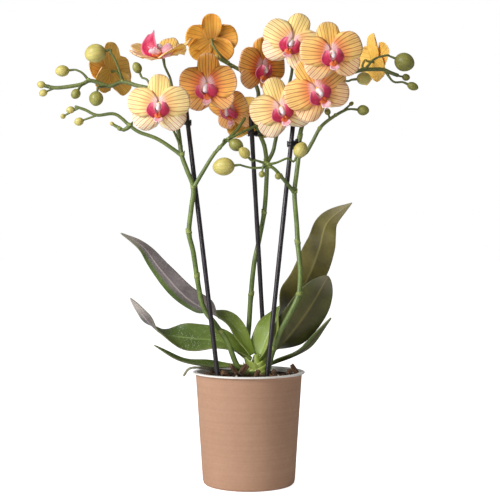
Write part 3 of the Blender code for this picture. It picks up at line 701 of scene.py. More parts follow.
def chipInto(bm, centre, size, turn, tone, toneLayer):
    verts = bmesh.ops.create_cube(bm, size=1)["verts"]
    bmesh.ops.scale(bm, vec=size, verts=verts)
    chipRandom = random.Random(round(centre.x * 1e6) + round(centre.y * 1e5))
    edges = list({edge for vert in verts for edge in vert.link_edges})
    cut = bmesh.ops.bevel(bm, geom=edges, offset=min(size) * 0.3, offset_type="OFFSET", segments=1,
                          profile=0.5, affect="EDGES", material=-1, clamp_overlap=True)
    verts = list({vert for face in cut["faces"] for vert in face.verts})
    for vert in verts:
        vert.co += Vector([chipRandom.uniform(-0.16, 0.16) * side for side in size])
        vert[toneLayer] = tone
    bmesh.ops.transform(bm, matrix=Matrix.Translation(centre) @ turn, verts=verts)


def makeBarkChips():
    bm = newMesh()
    tone = bm.verts.layers.float.new("tone")
    draw = random.Random(barkLayer["seed"])
    long, wide, thick = barkLayer["size"]
    for index in range(barkLayer["chips"]):
        radius = barkLayer["radius"] * math.sqrt(draw.random())
        angle = draw.uniform(0, 2 * math.pi)
        spot = spotOnHeap(radius, angle, draw.uniform(-0.0015, 0.001))
        if (spot.xy - place((*crownPlace, 0)).xy).length < barkLayer["crownGap"]:
            continue
        grow = draw.uniform(0.6, 1.35)
        size = (long * grow, wide * grow * draw.uniform(0.7, 1.2), thick * draw.uniform(0.8, 1.6))
        turn = turned(("Z", draw.uniform(0, 6.28)), ("X", draw.gauss(0, 0.45)),
                      ("Y", draw.gauss(0, 0.35)))
        chipInto(bm, spot, size, turn, draw.random() ** 1.5, tone)
    for spot, length, (a, b, c) in tallChips:
        turn = turned(("Z", math.radians(c)), ("Y", math.radians(b)), ("X", math.radians(a)))
        size = (length * mm, length * 0.6 * mm, 0.0035)
        chipInto(bm, place(spot), size, turn, draw.uniform(0.0, 0.35), tone)
    addPiece("bark_chips", bm, [barkChip], "bark", smooth=False)
    bm = newMesh()
    for index in range(barkLayer["perlite"]):
        radius = barkLayer["radius"] * math.sqrt(draw.random())
        angle = draw.uniform(0, 2 * math.pi)
        size = draw.uniform(0.0006, 0.0014)
        spot = spotOnHeap(radius, angle, 0.0025)
        verts = bmesh.ops.create_icosphere(bm, subdivisions=2, radius=size)["verts"]
        for vert in verts:
            vert.co *= draw.uniform(0.8, 1.1)
        bmesh.ops.translate(bm, vec=spot, verts=verts)
    addPiece("perlite_grains", bm, [perlite], "bark")


makeBarkChips()
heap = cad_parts["bark_mix"]
heap.data.materials.clear()
heap.data.materials.append(barkDark)
print("bark made")


# sticks and clips

stickShape = dict(radius=0.0022, depth=0.055, rings=60, sides=20, places={
    "left": ((-29, -26, 0), (-61, 2, 260)),
    "middle": ((16, 28, 0), (2, 3, 241)),
    "right": ((17, -26, 0), (44, -3, 254))})


def stickEnds(side):
    rim, top = (place(point) for point in stickShape["places"][side])
    down = (rim - top) / (top.z - rim.z)
    return rim + down * stickShape["depth"], top


def makeStick(side):
    low, high = stickEnds(side)
    count = stickShape["rings"]
    route = [low.lerp(high, index / (count - 1)) for index in range(count)]
    draw = random.Random(side)
    radii = [stickShape["radius"] * (1 + 0.02 * math.sin(index * 0.7) + draw.uniform(-0.015, 0.015))
             for index in range(count)]
    bm = newMesh()
    tubeInto(bm, route, radii, stickShape["sides"])
    return addPiece("stick_" + side + "_cane", bm, [stickDark], "stick", "stick_" + side)


# flower spikes

spikeShape = dict(stemRadius=0.0026, tipRadius=0.0018, branchRadius=0.0018, pedicelRadius=0.00125,
                  neck=0.006)
bractShape = dict(wrap=150, wall=0.0003, rows=6, columns=12)
budShape = dict(seam=0.07, flat=0.95, beak=0.05)
spikes = {
    "left": dict(base=(-90, -3), nodes=(38, 90, 131, 241),
        stem=[(-4, -14, 0), (-12, -15, 9), (-20, -15, 29), (-31, -14, 45), (-42, -13.5, 60),
              (-47, -14, 80),
              (-52, -15, 113), (-56, -15, 131), (-54, -14.5, 153), (-52, -14, 173), (-58, -13, 190),
              (-63, -11, 204), (-66, -8, 224), (-69, -5, 241), (-76, -5, 259), (-91, -3, 267),
              (-106, 0, 271),
              (-120, 2, 275), (-133, 2, 271), (-150, 1, 276), (-160, 0, 272), (-182, 0, 269),
              (-194, 0, 271)],
        branches=[[(-63, -11, 204), (-85, -9, 219), (-103, -8, 226), (-112, -8, 232),
                   (-126, -8, 243),
                   (-143, -8, 242), (-154, -8, 247), (-163, -8, 250)],
                  [(-112, -8, 232), (-118, -8, 228), (-124, -8, 231), (-129, -8, 234)],
                  [(-52, -14, 173), (-43, -16, 188), (-32, -19, 205), (-20, -17, 218),
                   (-11, -12, 228), (-4, -8, 239)]]),
    "middle": dict(base=(120, -1), nodes=(28, 71, 150, 247),
        stem=[(-2, 14, 16), (0, 20, 41), (2, 23, 71), (5, 24, 101), (10, 24, 125), (15, 19, 153),
              (17, 13, 183),
              (17, 9, 198), (15, 8, 214), (9, 6, 230), (7, 6, 247), (9, 9, 266), (1, 14, 282),
              (-15, 16, 292),
              (-27, 12, 298)],
        branches=[[(17, 9, 198), (23, 10, 209), (26, 11, 222), (31, 12, 242), (36, 11, 264),
                   (41, 8, 284), (41, 1, 298)]]),
    "right": dict(base=(-30, -3), nodes=(22, 74, 122, 221),
        stem=[(19, -10, 7), (23, -14, 22), (29, -17, 38), (38, -20, 55), (44, -21, 67),
              (47, -20, 76), (48, -17, 96),
              (46, -12, 121), (45, -10, 140), (43, -9, 168), (45, -8, 187), (47, -6, 204),
              (48, -5, 221),
              (50, -5, 231), (54, -7, 246), (60, -8, 261), (69, -7, 271), (79, -6, 277),
              (92, -5, 281),
              (108, 0, 286), (120, 3, 287), (128, 4, 287), (136, 6, 284), (142, 7, 282)],
        branches=[[(43, -9, 169), (34, -18, 179), (24, -24, 190), (14, -27, 196)],
                  [(47, -6, 203), (54, -8, 207), (60, -10, 217), (68, -12, 231), (81, -14, 241),
                   (92, -14, 247)]]),
}

blossoms = {
    "blossom_left_back": ((-136, 36, 290), (-0.78, 0.62, 0), worldUp, 0, 0.97, "left",
                          [(-120, 2, 275), (-123, 14, 281), (-128, 25, 288)]),
    "blossom_left_up": ((-78, -45, 291), (-0.16, -0.34, 1), (0.3, 1, 0), 0, 1.0, "left",
                        [(-69, -5, 245), (-71, -8, 261), (-73, -18, 274), (-76, -33, 281)]),
    "blossom_left_top": ((-36, 16, 317), (-0.1, 1, 0.1), worldUp, 0, 0.86, "middle",
                         [(-20, 14, 295), (-29, 6, 303), (-35, 6, 312)]),
    "blossom_left_front": ((-82, -44, 247), (0, -1, 0), worldUp, 0, 0.97, "left",
                           [(-64, -9, 212), (-71, -19, 228), (-79, -31, 243)]),
    "blossom_centre_left": ((-38, -22, 268), (-0.35, -0.9, -0.2), worldUp, 0, 1.0, "middle",
                            [(-15, 16, 292), (-24, 8, 288), (-33, -6, 275)]),
    "blossom_centre_low": ((-18, 18, 252), (-0.64, -0.64, -0.43), worldUp, 0, 0.9, "middle",
                           [(15, 8, 214), (12, 20, 224), (3, 32, 240), (-8, 29, 253)]),
    "blossom_centre_back": ((12, -4, 288), (0.62, -0.78, -0.1), worldUp, 0, 0.95, "middle",
                            [(7, 11, 274), (0, 13, 284), (3, 7, 289)]),
    "blossom_top": ((40, -25, 308), (0, -1, 0), worldUp, 20, 0.97, "middle",
                    [(41, 6, 290), (41, -2, 303), (40, -12, 308)]),
    "blossom_right_front": ((75, -47, 294), (0.1, -1, 0), worldUp, -8, 1.0, "right",
                            [(92, -5, 281), (88, -13, 290), (78, -32, 295)]),
    "blossom_right_low": ((63, -34, 262), (0.1, -1, -0.1), worldUp, -30, 1.05, "right",
                          [(69, -7, 271), (69, -15, 271), (64, -25, 264)]),
    "blossom_low_front": ((30, -20, 247), (0, -1, -0.1), worldUp, -20, 1.0, "left",
                          [(-20, -17, 218), (-5, -14, 226), (10, -5, 234), (26, -3, 245)]),
    "blossom_low_back": ((0, 46, 244), (-0.1, 0.9, -0.35), worldUp, 0, 0.9, "middle",
                         [(9, 6, 230), (7, 19, 238), (3, 32, 243)]),
    "blossom_right_back": ((125, 44, 301), (0.92, 0.38, 0), worldUp, 0, 0.95, "right",
                           [(108, 0, 286), (110, 18, 294), (114, 34, 301)]),
}

buds = {
    "bud_left_large": ((-145, -4, 301), (-1, 0, -0.25), 20, 18, "left",
                       [(-120, 2, 275), (-122, -2, 283), (-127, -4, 296), (-131, -4, 302)]),
    "bud_left_upper": ((-177, 0, 285), (-1, 0, -0.1), 13, 11, "left",
                       [(-152, 1, 276), (-158, 0, 283), (-164, 0, 286)]),
    "bud_left_inner": ((-163, -9, 262), (-0.4, -0.4, -0.8), 10, 9, "left",
                       [(-158, 0, 273), (-159, -4, 270)]),
    "bud_left_hanging": ((-143, -14, 257), (-0.1, -0.3, -1), 14, 13, "left",
                         [(-136, 2, 271), (-140, -6, 269)]),
    "bud_left_near": ((-106, 0, 288), (-0.5, 0, 1), 11, 9, "left",
                      [(-91, -3, 267), (-97, -1, 277)]),
    "bud_centre_yellow": ((-23, -30, 192), (-1, 0, -0.1), 20, 17, "right",
                          [(20, -25, 192), (4, -26, 191), (-6, -28, 193)]),
    "bud_centre_small": ((-4, -36, 204), (-0.5, -0.3, 0.5), 12, 10, "right",
                         [(16, -26, 195), (5, -31, 198)]),
    "bud_centre_olive": ((-12, -20, 213), (1, -0.2, -0.5), 14, 12, "left",
                         [(-32, -19, 205), (-25, -21, 212)]),
    "bud_centre_right": ((48, -22, 208), (0.6, 0, 1), 15, 13, "right",
                         [(17, -26, 194), (26, -26, 196), (36, -25, 200)]),
    "bud_right_large": ((148, 3, 294), (1, 0, -0.4), 19, 18, "right",
                        [(110, 1, 286), (119, -1, 296), (131, 1, 300)]),
    "bud_right_tip": ((157, 10, 272), (1, 0, -0.4), 11, 8, "right",
                      [(130, 5, 286), (138, 7, 276)]),
    "bud_right_inner": ((107, -19, 275), (1, -0.1, 0.1), 13, 12, "right",
                        [(82, -6, 278), (92, -15, 273)]),
    "bud_right_lower": ((107, -14, 246), (1, 0, -0.1), 11, 10, "right",
                        [(81, -14, 241), (90, -14, 246), (95, -14, 247)]),
}

smallBuds = {
    "left": [((-197, 0, 272), 8, 7, (-190, 0, 271)), ((-195, -1, 264), 8, 7, (-184, 0, 269)),
             ((-168, -8, 247), 8, 7, (-160, -8, 249)), ((-175, -8, 241), 5, 5, (-160, -8, 249)),
             ((-160, -8, 236), 9, 8, (-143, -8, 242)), ((-129, -8, 234), 4, 4, (-124, -8, 231))],
    "middle": [((-31, 11, 300), 5, 5, (-24, 13, 297))],
    "right": [((151, 13, 281), 8, 7, (140, 7, 282)), ((74, -11, 245), 7, 6, (76, -13, 238)),
              ((27, -30, 183), 7, 6, (25, -23, 189)), ((12, -29, 185), 6, 6, (14, -27, 196)),
              ((96, -14, 252), 5, 4, (88, -14, 245))],
}

leaves = {  # route, and the turn and height at which the leaf leaves the crown
    "leaf_upper_left": ([(-16, 3, 44), (-34, 6, 54), (-60, 0, 71), (-83, -10, 97), (-99, -18, 118),
                         (-119, -28, 131)], 172, 14),
    "leaf_middle_left": ([(-25, 1, 27), (-55, 0, 31), (-85, -4, 38), (-112, -9, 70)],
                         180, 8.5),
    "leaf_lower_left": ([(-20, -2, 4.5), (-38, -8, 7), (-62, -24, 13), (-87, -38, 28)],
                        188, 3.5),
    "leaf_upper_right": ([(19, 8, 34), (34, 11, 59), (55, 9, 86), (67, 4, 116), (75, -1, 142),
                          (98, -6, 160)], 42, 14),
    "leaf_middle_right": ([(35, 0, 30), (56, -4, 58), (75, -8, 91)], 0, 9),
    "leaf_lower_right": ([(25, 6, 7), (52, 2, 20), (78, -4, 51)], 18, 3.5),
}

clipLevels = {"left": 236, "middle": 226, "right": 215}


def stemRoute(side):
    angle, height = spikes[side]["base"]
    out = outwardAt(angle)
    start = place((*crownPlace, height)) + out * (crownRadius - 0.001)
    points = [start, start + out * 0.006 + worldUp * 0.001]
    return routeThrough(points + [place(point) for point in spikes[side]["stem"]], 0.0025)


def bractInto(bm, spot, heading, way, radius, length, finish):
    # pointed scale that clasps the stem at a joint
    outward = (way - heading * way.dot(heading)).normalized()
    side = heading.cross(outward)
    known = set(bm.faces)
    for vert in gridInto(bm, bractShape["rows"], bractShape["columns"]):
        along, across = vert.co.x + 0.5, vert.co.y * 2
        turn = math.radians(bractShape["wrap"]) * across
        reach = radius * (1.05 + 0.12 * along * (1 - across * across))
        tall = length * (0.3 + 0.7 * (1 - abs(across)) ** 1.2)
        around = outward * math.cos(turn) + side * math.sin(turn)
        vert.co = spot + heading * (tall * along - 0.1 * length) + around * reach
    for face in thicken(bm, known, bractShape["wall"]):
        face.material_index = finish


def budInto(bm, centre, way, length, width, finish, segments=28, rings=18):
    # three-seamed bud, blunt at its foot and a little beaked at its tip
    verts = bmesh.ops.create_uvsphere(bm, u_segments=segments, v_segments=rings, radius=1,
                                      calc_uvs=True)["verts"]
    turn = Vector(way).to_track_quat("Z", "Y").to_matrix().to_4x4()
    for vert in verts:
        share = (vert.co.z + 1) / 2
        angle = math.atan2(vert.co.y, vert.co.x)
        crease = abs(math.cos(1.5 * angle)) ** 10
        seam = 1 - budShape["seam"] * crease * math.sin(math.pi * share)
        belly = 1.04 - 0.2 * (share - 0.42) ** 2
        vert.co.x *= width / 2 * seam * belly
        vert.co.y *= width / 2 * seam * belly * budShape["flat"]
        vert.co.z *= length / 2 * (1 + budShape["beak"] * share ** 6)
    bmesh.ops.transform(bm, matrix=Matrix.Translation(centre) @ turn, verts=verts)
    setFinish(verts, finish)


def twigPoints(centre, way, reach, route):
    # a pedicel's points, with the last two straight behind its blossom or bud
    out = Vector(way).normalized()
    seat = place(centre) - out * reach
    return [place(point) for point in route] + [seat - out * spikeShape["neck"], seat]


def makeSpike(side):
    s, spike = spikeShape, spikes[side]
    bm = newMesh()
    stem = stemRoute(side)
    radii = taperedRadii(len(stem), s["stemRadius"], s["tipRadius"])
    marks = []
    for height in spike["nodes"]:  # joints, by height over the rim: the stem swells there
        index = min(range(6, len(stem) - 4), key=lambda i: abs(stem[i].z - rimHeight - height * mm))
        marks.append(index)
        for step, grow in ((-2, 1.02), (-1, 1.07), (0, 1.13), (1, 1.05)):
            radii[index + step] *= grow
    tubeInto(bm, stem, radii, 16)
    headings = headingsOf(stem)
    for turn, index in enumerate(marks):
        way = Vector((1 if turn % 2 else -1, -0.7, 0.1))
        bractInto(bm, stem[index], headings[index], way, radii[index] * 0.94, 0.005, 1)
    for branch in spike["branches"]:
        route = routeThrough([place(point) for point in branch], 0.003)
        grow = taperedRadii(len(route), s["branchRadius"] * 1.1, s["pedicelRadius"] * 1.1)
        grow[0], grow[1] = grow[0] * 1.2, grow[1] * 1.1
        tubeInto(bm, route, grow, 12)
        way = headingsOf(route)[0]
        bractInto(bm, route[0], worldUp, way * -1, s["stemRadius"] * 0.88, 0.005, 1)
        middle = len(route) // 2
        bractInto(bm, route[middle], headingsOf(route)[middle], Vector((0.2, -1, 0.2)),
                  grow[middle], 0.004, 1)
    twigs = [(twigPoints(centre, facing, 0.0035 * size - 0.001, route), 1.0)
             for centre, facing, up, roll, size, owner, route in blossoms.values() if owner == side]
    twigs += [(twigPoints(centre, way, length / 2 * mm - 0.0008, route), 0.85)
              for centre, way, length, width, owner, route in buds.values() if owner == side]
    for points, share in twigs:
        route = routeThrough(points, 0.0022)
        count = len(route)
        thick = [s["pedicelRadius"] * (1.25 - 0.35 * min(1, index / 4) + (share - 1) * index / count
                                       + 0.25 * max(0, index - count + 4) / 3)
                 for index in range(count)]
        tubeInto(bm, route, thick, 10)
        way = headingsOf(route)[0]
        bractInto(bm, route[0], (way + worldUp).normalized(), Vector((0.3, -1, -0.4)),
                  s["pedicelRadius"] * 1.2, 0.003, 1)
    for centre, length, width, start in smallBuds[side]:
        middle, base = place(centre), place(start)
        way = (middle - base).normalized()
        foot = middle - way * length * 0.4 * mm
        route = routeThrough([base, base.lerp(foot, 0.5), foot], 0.002)
        tubeInto(bm, route, taperedRadii(len(route), 0.0011, 0.0009), 8)
        budInto(bm, middle, way, length * mm, width * mm, 2, 16, 10)
    budFinish = budOlive if side == "right" else budYellow
    return addPiece("spike_" + side + "_stems", bm, [stemGreen, stemBract, budFinish], "stem",
                    "spike_" + side)


def pointAtHeight(route, height):
    level = rimHeight + height * mm
    for low, high in zip(route, route[1:]):
        if low.z <= level <= high.z:
            return low.lerp(high, (level - low.z) / (high.z - low.z))
    return route[-1]


clipShape = dict(wall=0.0013, gap=0.0003, wing=0.009)


def makeClip(side):
    # spring rings round the stick and the stem with a brace behind each, a bridge between them where
    # they stand apart, and grip wings on the right clip only
    height = clipLevels[side]
    stick, stem = pointAtHeight(stickEnds(side), height), pointAtHeight(stemRoute(side), height)
    reach = stem - stick
    along = reach.normalized()
    across = worldUp.cross(along)
    bm = newMesh()
    for centre, radius in ((stick, stickShape["radius"]), (stem, spikeShape["stemRadius"])):
        middle = radius + clipShape["gap"] + clipShape["wall"] / 2
        for level in (-0.0015, 0.0015):
            ring = []
            for turn in map(math.radians, range(-150, 151, 15)):
                around = along * math.cos(turn) + across * math.sin(turn)
                ring.append(centre + worldUp * level + around * middle)
            tubeInto(bm, ring, [clipShape["wall"] / 2] * len(ring), 8)
        brace = [centre + worldUp * level - along * middle for level in (-0.0022, 0, 0.0022)]
        tubeInto(bm, brace, [0.0008] * 3, 8)
    ends = (stick + along * 0.003, stem - along * 0.003)
    if reach.length > 0.006:
        tubeInto(bm, [ends[0].lerp(ends[1], share / 4) for share in range(5)], [0.0011] * 5, 10)
    middle = stick.lerp(stem, 0.5)
    for way in (-1, 1) if side == "right" else ():
        for lift in (-0.55, 0.55):
            tip = middle + across * way * clipShape["wing"] + worldUp * lift * 0.006
            wing = [middle.lerp(tip, share / 6) for share in range(7)]
            tubeInto(bm, wing, [0.0009, 0.001, 0.0012, 0.0014, 0.0016, 0.0017, 0.0012], 10)
    return addPiece("clip_" + side + "_grip", bm, [clipPlastic], "clip", "clip_" + side)


for spikeSide in spikes:
    makeStick(spikeSide)
    makeSpike(spikeSide)
    makeClip(spikeSide)
print("sticks, spikes and clips made")


# crown, aerial root and leaves

crownSheaths = [  # turn, height, radius and length
    (185, -8, 7.4, 22), (-8, -7, 7.6, 24), (196, -4, 6.8, 27), (12, -2, 6.6, 28),
    (250, -9, 8.0, 16), (310, -9, 8.0, 15)]


def makeCrown():
    # stubby stem wrapped in the sheaths of older leaves
    bm = newMesh()
    foot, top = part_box("crown")
    axis = place((*crownPlace, 0))
    route = [Vector((axis.x, axis.y, foot.z + 0.0015 + (top.z - foot.z - 0.004) * share / 8))
             for share in range(9)]
    radii = [0.0045, 0.0056, 0.0058, 0.0058, 0.0057, 0.0056, 0.0052, 0.0044, 0.003]
    tubeInto(bm, route, radii, 24)
    for turn, level, radius, tall in crownSheaths:
        way = outwardAt(turn)
        bractInto(bm, axis + worldUp * level * mm, (worldUp + way * 0.22).normalized(), way,
                  radius * mm, tall * mm, 0)
    return addPiece("crown_sheaths", bm, [sheathGreen], "leaf", "crown")


def makeAerialRoot():
    lip = potHigh.x
    start = place((*crownPlace, -3)) + Vector((-crownRadius, 0.0005, 0))
    points = [start, place((-14, 0, -0.5)), place((-30, -1, 1)),
              Vector((-lip + 0.008, -0.005, rimHeight + 0.0038)),
              Vector((-lip - 0.003, -0.008, rimHeight + 0.0032)),
              Vector((-lip - 0.008, -0.009, rimHeight - 0.003))]
    route = routeThrough(points, 0.002)
    draw = random.Random(5)
    radii = [0.0016 * (1 - 0.3 * index / len(route)) * draw.uniform(0.9, 1.06)
             for index in range(len(route))]
    bm = newMesh()
    tubeInto(bm, route, radii, 16)
    return addPiece("aerial_root_skin", bm, [rootSkin], "root", "aerial_root")


leafShape = dict(thickness=0.0014, groove=0.0006, ripple=0.0009, rows=64, columns=18)
# outline by half width, foot, widest place and tip; rolls along the leaf; green edges underneath
leafLooks = {
    "leaf_upper_left": dict(half=13.0, foot=0.5, widest=0.46, tip=(1.2, 0.85),
                            under="purple", green=(0.0, 0.95), phase=0.4,
                            rolls=[(0, 15), (0.12, 40), (0.26, 20), (0.4, -44), (0.72, -58),
                                   (0.88, -100), (1, -120)]),
    "leaf_middle_left": dict(half=15, foot=0.5, widest=0.46, tip=(1.5, 0.9),
                             under="purple", green=(0.1, 0.35), phase=1.9,
                             rolls=[(0, 0), (0.25, 42), (0.48, 56), (0.7, 10), (0.86, -40),
                                    (1, -60)]),
    "leaf_lower_left": dict(half=5.5, foot=0.6, widest=0.45, tip=(1.6, 0.9),
                            under="purple", green=(0.8, 0.8), phase=2.6,
                            rolls=[(0, 0), (0.4, 30), (1, 40)]),
    "leaf_upper_right": dict(half=16.5, foot=0.72, widest=0.5, tip=(2.2, 1.0),
                             under="olive", green=(0.0, 0.0), phase=0.9,
                             rolls=[(0, -10), (0.14, -35), (0.26, 0), (0.4, 55), (0.8, 72),
                                    (1, 100)]),
    # underside in the darker olive copy, which is painted shade
    "leaf_middle_right": dict(half=19.0, foot=0.5, widest=0.56, tip=(2.3, 0.7),
                              under="olivePaintedShade", green=(0.1, 0.15), phase=3.4,
                              rolls=[(0, 0), (0.4, 70), (1, 74)]),
    # underside in the darker olive copy, which is painted shade
    "leaf_lower_right": dict(half=6.5, foot=0.6, widest=0.5, tip=(1.8, 0.8),
                             under="olivePaintedShade", green=(0.75, 0.95), phase=5.0,
                             rolls=[(0, 0), (0.4, 22), (1, 28)]),
}

def leafSpread(along, look):
    if along < look["widest"]:
        return look["foot"] + (1 - look["foot"]) * math.sin(math.pi / 2 * along / look["widest"])
    past = (along - look["widest"]) / (1 - look["widest"])
    return max(0, 1 - past ** look["tip"][0]) ** look["tip"][1]


def rollAt(along, rolls):
    for (start, low), (end, high) in zip(rolls, rolls[1:]):
        if along <= end:
            share = (along - start) / (end - start)
            return math.radians(low + (high - low) * share * share * (3 - 2 * share))
    return math.radians(rolls[-1][1])


def makeLeaf(name):
    s, look = leafShape, leafLooks[name]
    route, baseAngle, baseHeight = leaves[name]
    start = place((*crownPlace, baseHeight)) + outwardAt(baseAngle) * (crownRadius + 0.0003)
    points = [start, *(place(point) for point in route)]
    midrib = routeThrough(points, 0.0004)
    midrib = [midrib[round(index * (len(midrib) - 1) / s["rows"])] for index in range(s["rows"] + 1)]
    headings = headingsOf(midrib)
    bm = newMesh()
    green = bm.verts.layers.float.new("green")
    for vert in gridInto(bm, s["rows"], s["columns"]):
        along, across = vert.co.x + 0.5, vert.co.y * 2
        index = round(along * s["rows"])
        flat = headings[index].cross(worldUp).normalized()
        upper = flat.cross(headings[index])
        turn = rollAt(along, look["rolls"])
        side = flat * math.cos(turn) + upper * math.sin(turn)
        normal = upper * math.cos(turn) - flat * math.sin(turn)
        width = look["half"] * mm * leafSpread(along, look)
        fold = width * (0.62 - 0.5 * min(1, along * 1.8))
        lift = fold * (abs(across) ** 1.25) - 0.1 * fold * across ** 4
        lift -= (s["groove"] * math.exp(-(across / 0.08) ** 2)
                 * math.sin(math.pi * min(1, along + 0.05)))
        lift += (s["ripple"] * math.sin(11 * along + look["phase"] + 1.5 * across)
                 * abs(across) ** 2.5 * math.sin(math.pi * along))
        vert.co = midrib[index] + side * across * width + normal * lift
        margin = min(1, max(0, (abs(across) - 0.3) / 0.35))
        vert[green] = look["green"][0 if across < 0 else 1] * margin * margin * (3 - 2 * margin)
    bmesh.ops.remove_doubles(bm, verts=bm.verts, dist=mergeReach)
    bmesh.ops.reverse_faces(bm, faces=bm.faces)
    leaf = addPiece(name + "_blade", bm, [leafTop, leafUnders[look["under"]]], "leaf", name)
    skin = leaf.modifiers.new("thickness", "SOLIDIFY")
    skin.thickness, skin.offset = s["thickness"], 0
    skin.material_offset, skin.material_offset_rim = 1, 0
    smooth = leaf.modifiers.new("smooth", "SUBSURF")
    smooth.levels = smooth.render_levels = 1
    return leaf


makeCrown()
makeAerialRoot()
for leafName in leaves:
    makeLeaf(leafName)
print("crown, root and leaves made")


# blossoms

blossomShape = dict(radius=0.030, sepalWidth=0.0116, petalWidth=0.0147, thickness=0.0006,
                    lipWall=0.0005, rows=14, columns=14)
blossomLooks = {  # tone (deep is painted shade), cupping of the petals, lip size, seed
    "blossom_left_back": ("warm", 0.0, 1.0, 1), "blossom_left_up": ("warm", 0.014, 1.55, 2),
    "blossom_left_top": ("deep", 0.0, 1.0, 3), "blossom_left_front": ("pale", -0.001, 1.2, 4),
    "blossom_centre_left": ("deep", 0.001, 1.2, 5), "blossom_centre_low": ("deep", 0.002, 1.2, 6),
    "blossom_centre_back": ("deep", 0.002, 1.2, 7), "blossom_top": ("pale", 0.0, 1.2, 8),
    "blossom_right_front": ("warm", 0.0, 1.2, 9), "blossom_right_low": ("warm", 0.0, 1.2, 10),
    "blossom_low_front": ("pale", 0.0, 1.2, 11), "blossom_low_back": ("warm", 0.003, 1.0, 12),
    "blossom_right_back": ("warm", 0.0, 1.0, 13),
}
sideSepal = dict(length=0.99, width=1.12, foot=0.4, shoulder=0.5, blush=0.9, petal=False)
sidePetal = dict(length=1.0, width=1.0, foot=0.16, shoulder=0.52, blush=0.3, petal=True)
tepals = [
    dict(turn=90, length=1.0, width=1.0, foot=0.42, shoulder=0.52, lift=-0.0007, blush=0.1,
         petal=False),
    dict(sideSepal, turn=219, lift=-0.0009), dict(sideSepal, turn=321, lift=-0.0005),
    dict(sidePetal, turn=12, lift=0.0008), dict(sidePetal, turn=168, lift=0.0011),
]


def tepalInto(bm, blushLayer, tepal, cup, draw):
    s = blossomShape
    turn = math.radians(tepal["turn"] + draw.uniform(-2.5, 2.5))
    way = Vector((math.cos(turn), math.sin(turn), 0))
    side = Vector((-math.sin(turn), math.cos(turn), 0))
    width = s["petalWidth"] if tepal["petal"] else s["sepalWidth"]
    width = width * tepal["width"] * draw.uniform(0.97, 1.03)
    swell = 0.72 if tepal["petal"] else 0.8
    length = s["radius"] * tepal["length"] * draw.uniform(0.97, 1.0)
    reflex, arch = draw.uniform(0.0005, 0.003), draw.uniform(0.0012, 0.003)
    twist = draw.uniform(-0.14, 0.14)
    phase, start = draw.uniform(0, 6.28), 0.0012
    for vert in gridInto(bm, s["rows"], s["columns"]):
        along, across = vert.co.x + 0.5, vert.co.y * 2
        end = tepal["shoulder"] + (1 - tepal["shoulder"]) * math.sqrt(max(0, 1 - abs(across) ** 2.3))
        spread = tepal["foot"] + (1 - tepal["foot"]) * math.sin(math.pi / 2 * along ** swell)
        spot = way * (start + (length - start) * along * end) + side * across * width * spread
        spot.z = (tepal["lift"] - reflex * along ** 2 - arch * across ** 2 * along
                  + twist * across * width * along
                  + 0.0009 * math.sin(4.2 * across + phase) * along ** 2 + cup * (along * end) ** 1.5
                  - 0.0005 * math.exp(-(across / 0.09) ** 2) * math.sin(math.pi * along)
                  + 0.0012 * math.sin(math.pi * along))
        vert.co = spot
        vert[blushLayer] = tepal["blush"]


def lobeInto(bm, foot, tip, bulge, across, width, cup, power):
    # one curved lobe of the lip from its foot to its tip
    across = across.normalized()
    hollow = (tip - foot).normalized().cross(across)
    for vert in gridInto(bm, 10, 8):
        along, side = vert.co.x + 0.5, vert.co.y * 2
        reach = width * math.sin(math.pi * (0.12 + 0.84 * along)) ** power
        vert.co = (foot.lerp(tip, along) + bulge * math.sin(math.pi * along)
                   + across * side * reach + hollow * cup * side ** 2)


